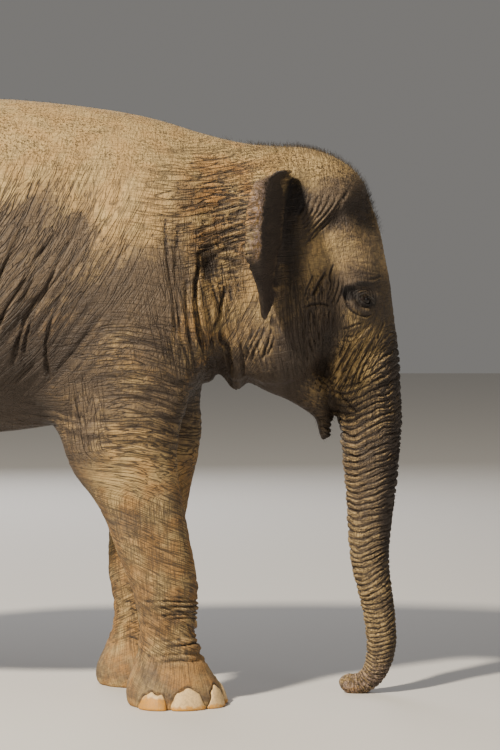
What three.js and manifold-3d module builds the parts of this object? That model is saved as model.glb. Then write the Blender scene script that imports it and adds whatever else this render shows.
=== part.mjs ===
// Asian elephant cow, life size: a still model of the living animal. It stands on all four
// feet, head level, with the trunk hanging to the ground and its tip curled back.
// Millimetres. +X is forward, +Y is the animal's left and +Z is up.
//
// The flesh is one smooth field: masses such as the barrel, the skull and each leg are
// signed distances that melt into each other. Each node is a stretch of that field, turned
// into a closed mesh with its own facet size and parted from its neighbours by thin cuts.
// Ears, eyes and toenails are solids of their own, let into the flesh.
import * as THREE from "three";
import { mergeVertices } from "three/addons/utils/BufferGeometryUtils.js";
import Module from "manifold-3d";

const wasm = await Module();
wasm.setup();

// ---------------------------------------------------------------- driving dimensions
const PARTING = 0.3; // width of every thin cut
const BACK_HEIGHT = 2293; // top of the back above the ground
const BELLY_HEIGHT = 980; // lowest point of the belly
const RUMP_X = -2240; // hindmost point of the body
const BODY_HALF_WIDTH = 560;
const EYE = { x: 738, z: 1525, radius: 24, depth: 10 };
const SIDES = { right: -1, left: 1 };

// ---------------------------------------------------------------- field helpers
function curveThrough(points) {
  const vectors = points.map((p) => new THREE.Vector3(...p));
  return new THREE.CatmullRomCurve3(vectors, false, "centripetal");
}
const clamp = (v, low, high) => Math.min(high, Math.max(low, v));
const mix = (a, b, t) => a + (b - a) * t;

// Smooth union of two distances: k is how far the two surfaces reach to meet.
function melt(a, b, k) {
  const h = Math.max(k - Math.abs(a - b), 0) / k;
  return Math.min(a, b) - (h * h * k) / 4;
}

// Smooth cut of b's inside out of a, and smooth common part of a and b.
const hollow = (a, b, k) => -melt(-a, b, k);
const common = (a, b, k) => -melt(-a, -b, k);

// Reads stations { at, ...values } as smooth functions of `at`, by cubic interpolation.
function profile(stations) {
  const s = [...stations].sort((p, q) => p.at - q.at);
  const keys = Object.keys(s[0]).filter((k) => k !== "at");
  const slope = (i, k) => {
    const a = s[Math.max(i - 1, 0)];
    const b = s[Math.min(i + 1, s.length - 1)];
    return (b[k] - a[k]) / (b.at - a.at);
  };
  const slopes = s.map((_, i) => Object.fromEntries(keys.map((k) => [k, slope(i, k)])));
  return (at) => {
    const t = clamp(at, s[0].at, s.at(-1).at);
    let i = 0;
    while (i < s.length - 2 && t > s[i + 1].at) i++;
    const span = s[i + 1].at - s[i].at;
    const u = (t - s[i].at) / span;
    const out = {};
    for (const k of keys) {
      const [p, q] = [s[i][k], s[i + 1][k]];
      const [m, n] = [slopes[i][k] * span, slopes[i + 1][k] * span];
      out[k] =
        (2 * u ** 3 - 3 * u ** 2 + 1) * p +
        (u ** 3 - 2 * u ** 2 + u) * m +
        (3 * u ** 2 - 2 * u ** 3) * q +
        (u ** 3 - u ** 2) * n;
    }
    return out;
  };
}

// Distance to an oval of half sizes a and b, along the ray from its centre. Roundness 2 is
// an ellipse, and more is squarer.
function ovalDistance(u, v, a, b, roundness = 2) {
  const length = Math.hypot(u, v) + 1e-6;
  const q = ((Math.abs(u) / a) ** roundness + (Math.abs(v) / b) ** roundness) ** (1 / roundness);
  return length * (1 - 1 / Math.max(q, 1e-6));
}

// An ellipsoid at (x, y, z), pitched nose-down about the cross axis by `pitch` degrees.
function ellipsoid([x, y, z], [a, b, c], pitch = 0) {
  const [sin, cos] = [Math.sin((pitch * Math.PI) / 180), Math.cos((pitch * Math.PI) / 180)];
  return (px, py, pz) => {
    const [dx, dy, dz] = [px - x, py - y, pz - z];
    const u = dx * cos - dz * sin;
    const w = dx * sin + dz * cos;
    const length = Math.hypot(u, dy, w) + 1e-6;
    const q = Math.hypot(u / a, dy / b, w / c);
    return length * (1 - 1 / Math.max(q, 1e-6));
  };
}

// The same mass on both sides of the body.
function pair([x, y, z], radii, pitch) {
  const half = ellipsoid([x, y, z], radii, pitch);
  return (px, py, pz) => half(px, Math.abs(py), pz);
}

// A body lofted along X, with rounded ends. Each station gives its top, its bottom, its half
// width and the height at which it is widest.
function barrel(stations) {
  const at = profile(stations);
  const [back, front] = [stations[0].at, stations.at(-1).at];
  return (x, y, z) => {
    const s = at(x);
    const half = z > s.girth ? s.top - s.girth : s.girth - s.bottom;
    const around = ovalDistance(y, z - s.girth, s.wide, half, 2.15);
    return common(around, Math.max(back - x, x - front), 60);
  };
}

// A leg lofted down Z: `shape` gives its half sizes and `line` the middle of the bones. Its
// top is rounded off inside the body.
function leg(shape, line, side) {
  const [sizeAt, middleAt] = [profile(shape), profile(line)];
  return (x, y, z) => {
    const [s, m] = [sizeAt(z), middleAt(z)];
    const around = ovalDistance(x - m.x, y - side * m.y, s.deep, s.wide, 2.2);
    return common(around, z - shape[0].at, 200);
  };
}

// A round-ended tube along a path in the mid plane: deep is its half size in that plane and
// wide its half size across.
function tube(stations, steps = 90) {
  const path = curveThrough(stations.map((s) => [s.x, 0, s.z]));
  const sizeAt = profile(stations.map((s, i) => ({ at: i, deep: s.deep, wide: s.wide })));
  const rings = Array.from({ length: steps + 1 }, (_, i) => {
    const t = i / steps;
    const p = path.getPoint(t);
    return { x: p.x, z: p.z, ...sizeAt(t * (stations.length - 1)) };
  });
  return (x, y, z) => {
    let best = Infinity;
    let found;
    for (let i = 0; i < steps; i++) {
      const [p, q] = [rings[i], rings[i + 1]];
      const [tx, tz] = [q.x - p.x, q.z - p.z];
      const t = clamp(((x - p.x) * tx + (z - p.z) * tz) / (tx * tx + tz * tz), 0, 1);
      const away = Math.hypot(x - p.x - t * tx, z - p.z - t * tz);
      if (away < best) {
        best = away;
        found = [p, q, t];
      }
    }
    const [p, q, t] = found;
    return ovalDistance(best, y, mix(p.deep, q.deep, t), mix(p.wide, q.wide, t));
  };
}

// ---------------------------------------------------------------- trunk and body masses
// Barrel of ribs, belly and rump, from the buttocks to the breast.
const torso = barrel([
  { at: RUMP_X, top: 1680, bottom: 1330, girth: 1520, wide: 190 },
  { at: -2130, top: 1850, bottom: 1220, girth: 1540, wide: 300 },
  { at: -1900, top: 2040, bottom: 1110, girth: 1560, wide: 400 },
  { at: -1600, top: 2178, bottom: 1015, girth: 1560, wide: 490 },
  { at: -1200, top: 2262, bottom: BELLY_HEIGHT, girth: 1560, wide: BODY_HALF_WIDTH },
  { at: -750, top: BACK_HEIGHT, bottom: 1005, girth: 1590, wide: 545 },
  { at: -400, top: 2270, bottom: 1045, girth: 1610, wide: 480 },
  { at: -100, top: 2226, bottom: 1110, girth: 1620, wide: 405 },
  { at: 130, top: 2158, bottom: 1228, girth: 1640, wide: 325 },
  { at: 330, top: 2108, bottom: 1340, girth: 1660, wide: 268 },
  { at: 520, top: 2050, bottom: 1450, girth: 1700, wide: 225 },
]);
const shoulder = pair([-130, 285, 1560], [270, 150, 430], 8);
const breast = ellipsoid([0, 0, 1340], [180, 240, 205]);
const hip = pair([-1620, 300, 1850], [230, 170, 190], -15);
const thigh = pair([-1880, 270, 1430], [330, 185, 420], -12);

// ---------------------------------------------------------------- legs
const FORELEG = [
  { at: 1500, deep: 280, wide: 165 },
  { at: 1330, deep: 266, wide: 165 },
  { at: 1145, deep: 247, wide: 158 },
  { at: 995, deep: 214, wide: 148 },
  { at: 870, deep: 196, wide: 140 },
  { at: 770, deep: 163, wide: 134 },
  { at: 600, deep: 148, wide: 126 },
  { at: 410, deep: 128, wide: 120 },
  { at: 315, deep: 114, wide: 107 },
  { at: 250, deep: 108, wide: 104 },
  { at: 185, deep: 125, wide: 116 },
  { at: 125, deep: 150, wide: 136 },
  { at: 75, deep: 175, wide: 153 },
  { at: 30, deep: 184, wide: 163 },
  { at: -60, deep: 170, wide: 150 },
];
const HINDLEG = [
  { at: 1450, deep: 320, wide: 180 },
  { at: 1250, deep: 300, wide: 180 },
  { at: 1080, deep: 262, wide: 165 },
  { at: 930, deep: 236, wide: 154 },
  { at: 800, deep: 200, wide: 142 },
  { at: 660, deep: 164, wide: 128 },
  { at: 500, deep: 138, wide: 116 },
  { at: 380, deep: 126, wide: 110 },
  { at: 260, deep: 116, wide: 106 },
  { at: 170, deep: 128, wide: 116 },
  { at: 90, deep: 150, wide: 128 },
  { at: 35, deep: 163, wide: 137 },
  { at: -60, deep: 150, wide: 126 },
];
// The right foreleg steps forward with its elbow back, the left one carries the weight.
const LEG_LINES = {
  foreleg_right: [
    { at: 1500, x: -150, y: 250 },
    { at: 1145, x: -167, y: 285 },
    { at: 995, x: -184, y: 285 },
    { at: 870, x: -158, y: 280 },
    { at: 770, x: -107, y: 275 },
    { at: 600, x: -56, y: 265 },
    { at: 410, x: -7, y: 258 },
    { at: 250, x: 0, y: 255 },
    { at: 75, x: 16, y: 252 },
    { at: 0, x: 30, y: 250 },
  ],
  foreleg_left: [
    { at: 1500, x: -140, y: 250 },
    { at: 1145, x: -110, y: 285 },
    { at: 995, x: -96, y: 285 },
    { at: 770, x: -88, y: 275 },
    { at: 600, x: -104, y: 265 },
    { at: 410, x: -124, y: 258 },
    { at: 250, x: -124, y: 255 },
    { at: 75, x: -126, y: 252 },
    { at: 0, x: -112, y: 250 },
  ],
  hindleg_right: [
    { at: 1450, x: -1880, y: 235 },
    { at: 1080, x: -1850, y: 262 },
    { at: 930, x: -1838, y: 262 },
    { at: 800, x: -1852, y: 255 },
    { at: 660, x: -1895, y: 245 },
    { at: 380, x: -1960, y: 235 },
    { at: 260, x: -1962, y: 232 },
    { at: 90, x: -1940, y: 230 },
    { at: 0, x: -1925, y: 230 },
  ],
  hindleg_left: [
    { at: 1450, x: -1850, y: 235 },
    { at: 1080, x: -1760, y: 262 },
    { at: 930, x: -1725, y: 262 },
    { at: 800, x: -1710, y: 255 },
    { at: 660, x: -1725, y: 245 },
    { at: 380, x: -1762, y: 235 },
    { at: 260, x: -1762, y: 232 },
    { at: 90, x: -1738, y: 230 },
    { at: 0, x: -1722, y: 230 },
  ],
};
const legs = Object.fromEntries(
  Object.entries(LEG_LINES).map(([name, line]) => [
    name,
    leg(name.startsWith("fore") ? FORELEG : HINDLEG, line, SIDES[name.split("_")[1]]),
  ]),
);

// ---------------------------------------------------------------- head
const cranium = ellipsoid([482, 0, 1780], [290, 280, 305]);
const domes = pair([552, 92, 1915], [208, 132, 166], 12);
const face = ellipsoid([635, 0, 1600], [188, 204, 290]);
const brow = pair([684, 154, 1620], [88, 64, 60], 10);
const cheekbone = pair([590, 190, 1480], [170, 80, 110], 20);
const cheek = pair([410, 172, 1450], [210, 124, 250], 10);
const temple = pair([585, 358, 1760], [130, 95, 130]);
const sheath = pair([690, 90, 1270], [80, 70, 150]);
const jaw = tube([
  { x: 325, z: 1345, deep: 112, wide: 172 },
  { x: 420, z: 1275, deep: 118, wide: 150 },
  { x: 500, z: 1225, deep: 105, wide: 118 },
  { x: 560, z: 1150, deep: 78, wide: 84 },
  { x: 592, z: 1085, deep: 48, wide: 55 },
  { x: 606, z: 1020, deep: 28, wide: 34 },
]);
const throat = ellipsoid([238, 0, 1264], [44, 72, 82]);

// ---------------------------------------------------------------- trunk, or proboscis
const TRUNK = [
  { x: 696, z: 1520, deep: 146, wide: 175 },
  { x: 736, z: 1400, deep: 132, wide: 162 },
  { x: 747, z: 1290, deep: 133, wide: 150 },
  { x: 753, z: 1180, deep: 133, wide: 138 },
  { x: 767, z: 1060, deep: 125, wide: 126 },
  { x: 773, z: 940, deep: 111, wide: 114 },
  { x: 774, z: 820, deep: 99, wide: 103 },
  { x: 770, z: 670, deep: 85, wide: 90 },
  { x: 769, z: 525, deep: 74, wide: 78 },
  { x: 790, z: 400, deep: 65, wide: 69 },
  { x: 806, z: 320, deep: 61, wide: 63 },
  { x: 816, z: 210, deep: 57, wide: 58 },
  { x: 808, z: 130, deep: 52, wide: 54 },
  { x: 783, z: 72, deep: 45, wide: 50 },
  { x: 740, z: 36, deep: 39, wide: 46 },
  { x: 700, z: 33, deep: 37, wide: 43 },
  { x: 685, z: 38, deep: 35, wide: 40 },
];
const trunk = tube(TRUNK, 120);
const finger = ellipsoid([672, 0, 70], [18, 17, 18], 0);

// ---------------------------------------------------------------- tail
const TAIL = [
  { x: -2110, z: 1730, deep: 84, wide: 96 },
  { x: -2215, z: 1655, deep: 66, wide: 72 },
  { x: -2272, z: 1530, deep: 50, wide: 54 },
  { x: -2302, z: 1380, deep: 41, wide: 42 },
  { x: -2328, z: 1200, deep: 34, wide: 34 },
  { x: -2345, z: 1040, deep: 28, wide: 28 },
  { x: -2362, z: 900, deep: 24, wide: 24 },
  { x: -2378, z: 760, deep: 24, wide: 34 },
  { x: -2390, z: 620, deep: 18, wide: 30 },
  { x: -2395, z: 560, deep: 11, wide: 18 },
  { x: -2396, z: 535, deep: 3, wide: 5 },
];

// ---------------------------------------------------------------- flesh fields
// Body, neck and skull, without the parts that must not grow into each other.
function bodyField(x, y, z) {
  let d = melt(torso(x, y, z), shoulder(x, y, z), 160);
  d = melt(d, breast(x, y, z), 140);
  d = melt(d, hip(x, y, z), 160);
  d = melt(d, thigh(x, y, z), 150);
  for (const one of Object.values(legs)) d = melt(d, one(x, y, z), 140);
  return d;
}
function skullField(x, y, z) {
  let d = melt(cranium(x, y, z), domes(x, y, z), 60);
  d = melt(d, face(x, y, z), 120);
  d = melt(d, brow(x, y, z), 60);
  d = melt(d, cheekbone(x, y, z), 90);
  d = melt(d, cheek(x, y, z), 120);
  return hollow(d, temple(x, y, z), 80);
}
const headField = (x, y, z) => melt(bodyField(x, y, z), skullField(x, y, z), 110);
function trunkField(x, y, z) {
  let d = melt(headField(x, y, z), trunk(x, y, z), 90);
  d = melt(d, sheath(x, y, z), 60);
  return melt(d, finger(x, y, z), 25);
}
const jawField = (x, y, z) =>
  melt(melt(headField(x, y, z), jaw(x, y, z), 70), throat(x, y, z), 30);
const faceField = (x, y, z) => Math.min(trunkField(x, y, z), jawField(x, y, z));

// How far along a direction from a point inside the flesh its surface lies.
function outermost(field, { x, y = 0, z }, direction) {
  let [near, far] = [0, 600];
  for (let round = 0; round < 30; round++) {
    const middle = (near + far) / 2;
    const there = [x, y, z].map((v, axis) => v + middle * direction[axis]);
    if (field(...there) < 0) near = middle;
    else far = middle;
  }
  return near;
}

// ---------------------------------------------------------------- meshing
const CORNERS = Array.from({ length: 8 }, (_, n) => [n & 1, (n >> 1) & 1, n >> 2]);

// Whether the corners of one cell that `mask` holds are joined to each other along its edges.
function connected(mask) {
  if (!mask) return true;
  let grown = mask & -mask;
  for (let round = 0; round < 4; round++)
    for (let n = 0; n < 8; n++)
      if (grown & (1 << n)) for (const bit of [1, 2, 4]) grown |= mask & (1 << (n ^ bit));
  return grown === mask;
}

// Pushes single grid points outside until no cell holds two sheets of the surface, so that
// one vertex in each cell makes a closed mesh.
function untangle(values, corners) {
  const last = values.length - corners[7];
  for (let changed = true; changed; ) {
    changed = false;
    for (let start = 0; start < last; start++) {
      let mask = 0;
      for (let n = 0; n < 8; n++) if (values[start + corners[n]] < 0) mask |= 1 << n;
      if (connected(mask) && connected(255 ^ mask)) continue;
      const inside = corners.map((c) => start + c).filter((c) => values[c] < 0);
      const least = inside.reduce((a, b) => (values[a] > values[b] ? a : b));
      values[least] = 1;
      changed = true;
    }
  }
}

// Grid lines from `low` to `high`, about `cell` apart.
function lines(low, high, cell) {
  const count = Math.round((high - low) / cell);
  return Array.from({ length: count + 1 }, (_, n) => mix(low, high, n / count));
}
const grid = (low, high, cell) => low.map((v, axis) => lines(v, high[axis], cell[axis]));

// Turns the zero surface of a field into one closed mesh of quads: one vertex in each cell of
// the grid that the surface crosses, moved onto the surface by Newton steps. The outermost
// grid points count as outside.
function polygonize(field, axes) {
  const [nx, ny, nz] = axes.map((a) => a.length);
  const index = (i, j, k) => (k * ny + j) * nx + i;
  const values = new Float64Array(nx * ny * nz);
  for (let k = 0; k < nz; k++)
    for (let j = 0; j < ny; j++)
      for (let i = 0; i < nx; i++) {
        const rim = i % (nx - 1) === 0 || j % (ny - 1) === 0 || k % (nz - 1) === 0;
        const value = field(axes[0][i], axes[1][j], axes[2][k]);
        values[index(i, j, k)] = rim ? Math.max(value, 1) : value;
      }
  const corners = CORNERS.map(([a, b, c]) => index(a, b, c));
  untangle(values, corners);
  const positions = [];
  const vertexOf = new Int32Array(nx * ny * nz).fill(-1);
  for (let k = 0; k < nz - 1; k++)
    for (let j = 0; j < ny - 1; j++)
      for (let i = 0; i < nx - 1; i++) {
        const inCell = averageCrossing(values, index(i, j, k), corners);
        if (!inCell) continue;
        const from = [i, j, k].map((n, axis) => axes[axis][n]);
        const size = [i, j, k].map((n, axis) => axes[axis][n + 1] - axes[axis][n]);
        const start = from.map((v, axis) => v + inCell[axis] * size[axis]);
        vertexOf[index(i, j, k)] = positions.length / 3;
        positions.push(...ontoSurface(field, start, size));
      }
  const triangles = [];
  const gap = (a, b) =>
    [0, 1, 2].reduce((t, axis) => t + (positions[3 * a + axis] - positions[3 * b + axis]) ** 2, 0);
  const quad = (a, b, c, d, flip) => {
    const [p, q, r, s] = flip ? [a, d, c, b] : [a, b, c, d];
    if (gap(p, r) < gap(q, s)) triangles.push(p, q, r, p, r, s);
    else triangles.push(p, q, s, q, r, s);
  };
  for (let k = 0; k < nz - 1; k++)
    for (let j = 0; j < ny - 1; j++)
      for (let i = 0; i < nx - 1; i++) {
        const inside = values[index(i, j, k)] < 0;
        const at = (a, b, c) => vertexOf[index(i + a, j + b, k + c)];
        if (j && k && inside !== values[index(i + 1, j, k)] < 0)
          quad(at(0, -1, -1), at(0, 0, -1), at(0, 0, 0), at(0, -1, 0), !inside);
        if (i && k && inside !== values[index(i, j + 1, k)] < 0)
          quad(at(-1, 0, -1), at(-1, 0, 0), at(0, 0, 0), at(0, 0, -1), !inside);
        if (i && j && inside !== values[index(i, j, k + 1)] < 0)
          quad(at(-1, -1, 0), at(0, -1, 0), at(0, 0, 0), at(-1, 0, 0), !inside);
      }
  return solid(positions, triangles);
}

// Mean of the places where the surface crosses the edges of one cell, from 0 to 1 each way.
function averageCrossing(values, start, corners) {
  const sum = [0, 0, 0];
  let crossings = 0;
  for (let a = 0; a < 8; a++)
    for (const bit of [1, 2, 4]) {
      if (a & bit) continue;
      const u = values[start + corners[a]];
      const v = values[start + corners[a | bit]];
      if (u < 0 === v < 0) continue;
      for (let n = 0; n < 3; n++) sum[n] += mix(CORNERS[a][n], CORNERS[a | bit][n], u / (u - v));
      crossings++;
    }
  return crossings && sum.map((v) => v / crossings);
}

// Follows the slope of the field from `start` to its surface, within about one cell.
function ontoSurface(field, start, size) {
  const p = [...start];
  const reach = Math.min(...size) / 3;
  for (let round = 0; round < 4; round++) {
    const value = field(...p);
    const slope = [0, 1, 2].map((axis) => {
      const ahead = [...p];
      ahead[axis] += 1;
      return field(...ahead) - value;
    });
    const steep = slope.reduce((t, v) => t + v * v, 0) + 1e-9;
    const move = clamp(value / steep, -reach, reach);
    for (let axis = 0; axis < 3; axis++) p[axis] -= move * slope[axis];
  }
  const room = size.map((s) => 0.6 * s);
  return p.map((v, axis) => clamp(v, start[axis] - room[axis], start[axis] + room[axis]));
}

function solid(positions, triangles) {
  return new wasm.Manifold(
    new wasm.Mesh({
      numProp: 3,
      vertProperties: new Float32Array(positions),
      triVerts: new Uint32Array(triangles),
    }),
  );
}

// A closed tube through the same stations as tube(), as rings of flat facets.
function loft(stations, rings, sides) {
  const path = curveThrough(stations.map((s) => [s.x, 0, s.z]));
  const sizeAt = profile(stations.map((s, i) => ({ at: i, deep: s.deep, wide: s.wide })));
  const positions = [];
  for (let ring = 0; ring <= rings; ring++) {
    const t = ring / rings;
    const [p, along] = [path.getPoint(t), path.getTangent(t)];
    const { deep, wide } = sizeAt(t * (stations.length - 1));
    for (let side = 0; side < sides; side++) {
      const angle = (2 * Math.PI * side) / sides;
      const up = deep * Math.cos(angle);
      positions.push(p.x - along.z * up, wide * Math.sin(angle), p.z + along.x * up);
    }
  }
  const triangles = [];
  const quad = (a, b, c, d) => triangles.push(a, b, c, a, c, d);
  const at = (ring, side) => ring * sides + (side % sides);
  for (let ring = 0; ring < rings; ring++)
    for (let side = 0; side < sides; side++)
      quad(at(ring, side), at(ring + 1, side), at(ring + 1, side + 1), at(ring, side + 1));
  for (let side = 1; side < sides - 1; side++) {
    triangles.push(at(0, 0), at(0, side), at(0, side + 1));
    triangles.push(at(rings, 0), at(rings, side + 1), at(rings, side));
  }
  return solid(positions, triangles);
}

// A three.js geometry as a solid.
function solidOf(geometry) {
  const bare = geometry.clone();
  bare.deleteAttribute("normal");
  bare.deleteAttribute("uv");
  const merged = mergeVertices(bare, 1e-3);
  return solid(merged.attributes.position.array, merged.index.array);
}

// Everything on the far side of a plane through `point`, which `away` points out of, as a
// block that ends half a cut short of the plane.
const BLOCK = 8000;
function behind(point, away) {
  const normal = new THREE.Vector3(...away).normalize();
  const block = new THREE.BoxGeometry(BLOCK, BLOCK, BLOCK);
  block.translate(0, 0, -BLOCK / 2 - PARTING / 2);
  block.applyQuaternion(
    new THREE.Quaternion().setFromUnitVectors(new THREE.Vector3(0, 0, 1), normal),
  );
  block.translate(...point);
  return solidOf(block);
}

const reverse = (v) => v.map((n) => -n);

// ---------------------------------------------------------------- where the flesh is parted
const CUTS = {
  neck: { point: [70, 0, 1700], away: [1, 0, 0.15] },
  head: { point: [290, 0, 1650], away: [1, 0, -0.06] },
  jaw: { point: [430, 0, 1330], away: [-0.3, 0, -1] },
  mouth: { point: [634, 0, 1110], away: [1, 0, 0.13] },
  trunk_upper: { point: [613, 0, 1275], away: [0.467, 0, -1] },
  trunk_middle: { point: [772, 0, 960], away: [0.05, 0, -1] },
  trunk_lower: { point: [775, 0, 560], away: [0.02, 0, -1] },
  trunk_tip: { point: [812, 0, 230], away: [0.05, 0, -1] },
  foreleg: { point: [-100, 0, 1108], away: [0.25, 0, -1] },
  hindleg: { point: [-1600, 0, 985], away: [-0.42, 0, -1] },
  foot: { point: [0, 0, 215], away: [0, 0, -1] },
  sole: { point: [0, 0, 0], away: [0, 0, -1] },
  tail_brush: { point: [-2370, 0, 820], away: [0, 0, -1] },
};
const before = (name) => behind(CUTS[name].point, CUTS[name].away);
const beyond = (name) => behind(CUTS[name].point, reverse(CUTS[name].away));

const within = (body, ...regions) => regions.reduce((s, r) => s.intersect(r), body);

// The space that one leg takes up below the torso, grown by `grow` all round.
const LEG_SPACE = {
  foreleg: { back: -560, front: 330 },
  hindleg: { back: -2500, front: -1380 },
  wide: 700,
  middle: 360,
  high: 1600,
};
function legBlock(name, grow) {
  const [limb, sideName] = name.split("_");
  const { back, front } = LEG_SPACE[limb];
  const { wide, middle, high } = LEG_SPACE;
  const block = new THREE.BoxGeometry(front - back + 2 * grow, wide + 2 * grow, high);
  block.translate((back + front) / 2, SIDES[sideName] * middle, high / 2 - 100);
  return solidOf(block);
}

// ---------------------------------------------------------------- nodes of flesh
const flesh = {};

// The grid is close where the limbs join the body and wide along the barrel.
flesh.torso = within(
  polygonize(bodyField, [
    [...lines(-2440, -1520, 115), ...lines(-1300, -640, 220), ...lines(-520, 400, 115)],
    lines(-700, 700, 128),
    lines(700, 2420, 123),
  ]),
  before("neck"),
);
for (const name of Object.keys(legs)) {
  const { point, away } = CUTS[name.split("_")[0]];
  const edge = point.map((v, axis) => v - (PARTING * away[axis]) / Math.hypot(...away));
  const notch = legBlock(name, PARTING / 2).intersect(behind(edge, reverse(away)));
  flesh.torso = flesh.torso.subtract(notch);
}

for (const name of Object.keys(legs)) {
  const [limb, sideName] = name.split("_");
  const [back, front] = limb === "foreleg" ? [-520, 300] : [-2420, -1420];
  const [near, far] = [SIDES[sideName] * 10, SIDES[sideName] * 640].sort((a, b) => a - b);
  const shank = polygonize(bodyField, grid([back, near, 100], [front, far, 1480], [88, 88, 126]));
  const foot = polygonize(bodyField, grid([back, near, -90], [front, far, 330], [72, 72, 60]));
  flesh[name] = within(shank, beyond(limb), before("foot"), legBlock(name, -PARTING / 2));
  flesh[name.replace("leg", "foot")] = within(foot, beyond("foot"), before("sole"));
}

flesh.neck = within(
  polygonize(faceField, grid([-140, -520, 1000], [440, 520, 2300], [96, 94, 100])),
  beyond("neck"),
  before("head"),
);
flesh.head = within(
  polygonize(faceField, grid([140, -420, 1060], [960, 420, 2240], [75, 74, 72])),
  beyond("head"),
  before("jaw"),
  before("trunk_upper"),
);
flesh.jaw = within(
  polygonize(jawField, [
    [...lines(140, 500, 72), ...lines(540, 700, 40)],
    [...lines(-340, -100, 80), ...lines(-60, 60, 40), ...lines(100, 340, 80)],
    [...lines(900, 1180, 40), ...lines(1250, 1530, 70)],
  ]),
  beyond("head"),
  beyond("jaw"),
  before("mouth"),
);

const TRUNK_LENGTHS = [
  { name: "trunk_upper", low: [560, -240, 880], high: [960, 240, 1480], cell: [54, 54, 72] },
  { name: "trunk_middle", low: [600, -180, 480], high: [960, 180, 1060], cell: [46, 46, 76] },
  { name: "trunk_lower", low: [600, -140, 150], high: [960, 140, 660], cell: [38, 38, 64] },
  { name: "trunk_tip", low: [590, -110, -60], high: [930, 110, 330], cell: [33, 33, 35] },
];
TRUNK_LENGTHS.forEach(({ name, low, high, cell }, n) => {
  const end = TRUNK_LENGTHS[n + 1]?.name ?? "sole";
  flesh[name] = within(polygonize(trunkField, grid(low, high, cell)), beyond(name), before(end));
});
flesh.trunk_upper = flesh.trunk_upper.intersect(beyond("mouth"));

// The tail's root lies against the rump.
const wholeTail = loft(TAIL, 18, 8);
const tailRoot = wholeTail.intersect(before("tail_brush")).subtract(flesh.torso);
flesh.tail = tailRoot.translate([-PARTING, 0, 0]);
flesh.tail_brush = wholeTail.intersect(beyond("tail_brush"));

// ---------------------------------------------------------------- ears
// Each ear is a ruled sheet from its root in the skull to its free edge, which rolls backwards
// along its upper half. The points are the left ear's.
const EAR_ROOT = [
  [474, 215, 1992],
  [462, 226, 1830],
  [446, 238, 1655],
];
const EAR_EDGE = [
  [474, 262, 2006],
  [405, 418, 2002],
  [368, 560, 1952],
  [347, 622, 1868],
  [338, 638, 1760],
  [338, 622, 1665],
  [344, 560, 1570],
  [352, 478, 1480],
  [360, 425, 1438],
  [396, 352, 1520],
  [440, 262, 1640],
];
const EAR_ROLL = { start: 0.16, end: 0.5, width: 58, turn: 2.3 };
const EAR_THICKNESS = { root: 26, edge: 13 };
const EAR_CAMBER = 30;
const EAR_ROWS = 10;
const EAR_COLUMNS = [0, 0.22, 0.45, 0.66, 0.84, 1];

const [earRoot, earEdge] = [curveThrough(EAR_ROOT), curveThrough(EAR_EDGE)];

// Rises from 0 to 1 as v goes from `from` to `to`.
function ramp(from, to, v) {
  const t = clamp((v - from) / (to - from), 0, 1);
  return t * t * (3 - 2 * t);
}

// Middle of the ear's thickness, u across from the root to the free edge and v downwards.
function earPoint(u, v) {
  const root = earRoot.getPoint(v);
  const out = earEdge.getPoint(v).sub(root);
  const flat = out.length();
  out.normalize();
  const back = new THREE.Vector3(-1, 0, 0).addScaledVector(out, out.x).normalize();
  const roll = ramp(EAR_ROLL.start - 0.08, EAR_ROLL.start, v) * ramp(EAR_ROLL.end + 0.06, EAR_ROLL.end, v);
  const radius = EAR_ROLL.width / EAR_ROLL.turn;
  const run = u * (flat + roll * EAR_ROLL.width);
  const angle = (EAR_ROLL.turn * roll * Math.max(run - flat, 0)) / EAR_ROLL.width;
  const camber = EAR_CAMBER * Math.sin(Math.PI * Math.min(run / flat, 1));
  return root
    .addScaledVector(out, Math.min(run, flat) + radius * Math.sin(angle))
    .addScaledVector(back, camber + radius * (1 - Math.cos(angle)));
}

// One ear as a closed solid, with its root inside the skull.
function ear(side) {
  const columns = EAR_COLUMNS.length;
  const rows = EAR_ROWS + 1;
  const positions = [];
  for (const face of [1, -1])
    for (let row = 0; row < rows; row++)
      for (const u of EAR_COLUMNS) {
        const v = row / EAR_ROWS;
        const across = earPoint(Math.min(u + 0.02, 1), v).sub(earPoint(Math.max(u - 0.02, 0), v));
        const down = earPoint(u, Math.min(v + 0.02, 1)).sub(earPoint(u, Math.max(v - 0.02, 0)));
        const half = mix(EAR_THICKNESS.root, EAR_THICKNESS.edge, u) / 2;
        const point = earPoint(u, v).addScaledVector(across.cross(down).normalize(), face * half);
        positions.push(point.x, side * point.y, point.z);
      }
  const triangles = [];
  const at = (face, row, column) => (face * rows + row) * columns + column;
  const quad = (a, b, c, d) => {
    const corners = side > 0 ? [a, b, c, d] : [d, c, b, a];
    for (const n of [0, 1, 2, 0, 2, 3]) triangles.push(corners[n]);
  };
  const [lastRow, lastColumn] = [rows - 1, columns - 1];
  for (let row = 0; row < lastRow; row++) {
    for (let column = 0; column < lastColumn; column++) {
      const [c, d] = [column, column + 1];
      quad(at(0, row, c), at(0, row, d), at(0, row + 1, d), at(0, row + 1, c));
      quad(at(1, row, c), at(1, row + 1, c), at(1, row + 1, d), at(1, row, d));
    }
    quad(at(0, row, 0), at(0, row + 1, 0), at(1, row + 1, 0), at(1, row, 0));
    quad(
      at(0, row, lastColumn),
      at(1, row, lastColumn),
      at(1, row + 1, lastColumn),
      at(0, row + 1, lastColumn),
    );
  }
  for (let column = 0; column < lastColumn; column++) {
    const [c, d] = [column, column + 1];
    quad(at(0, 0, c), at(1, 0, c), at(1, 0, d), at(0, 0, d));
    quad(at(0, lastRow, c), at(0, lastRow, d), at(1, lastRow, d), at(1, lastRow, c));
  }
  return solid(positions, triangles);
}

for (const [name, side] of Object.entries(SIDES)) {
  flesh[`ear_${name}`] = ear(side).subtract(flesh.head).translate([0, side * PARTING, 0]);
}

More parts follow.
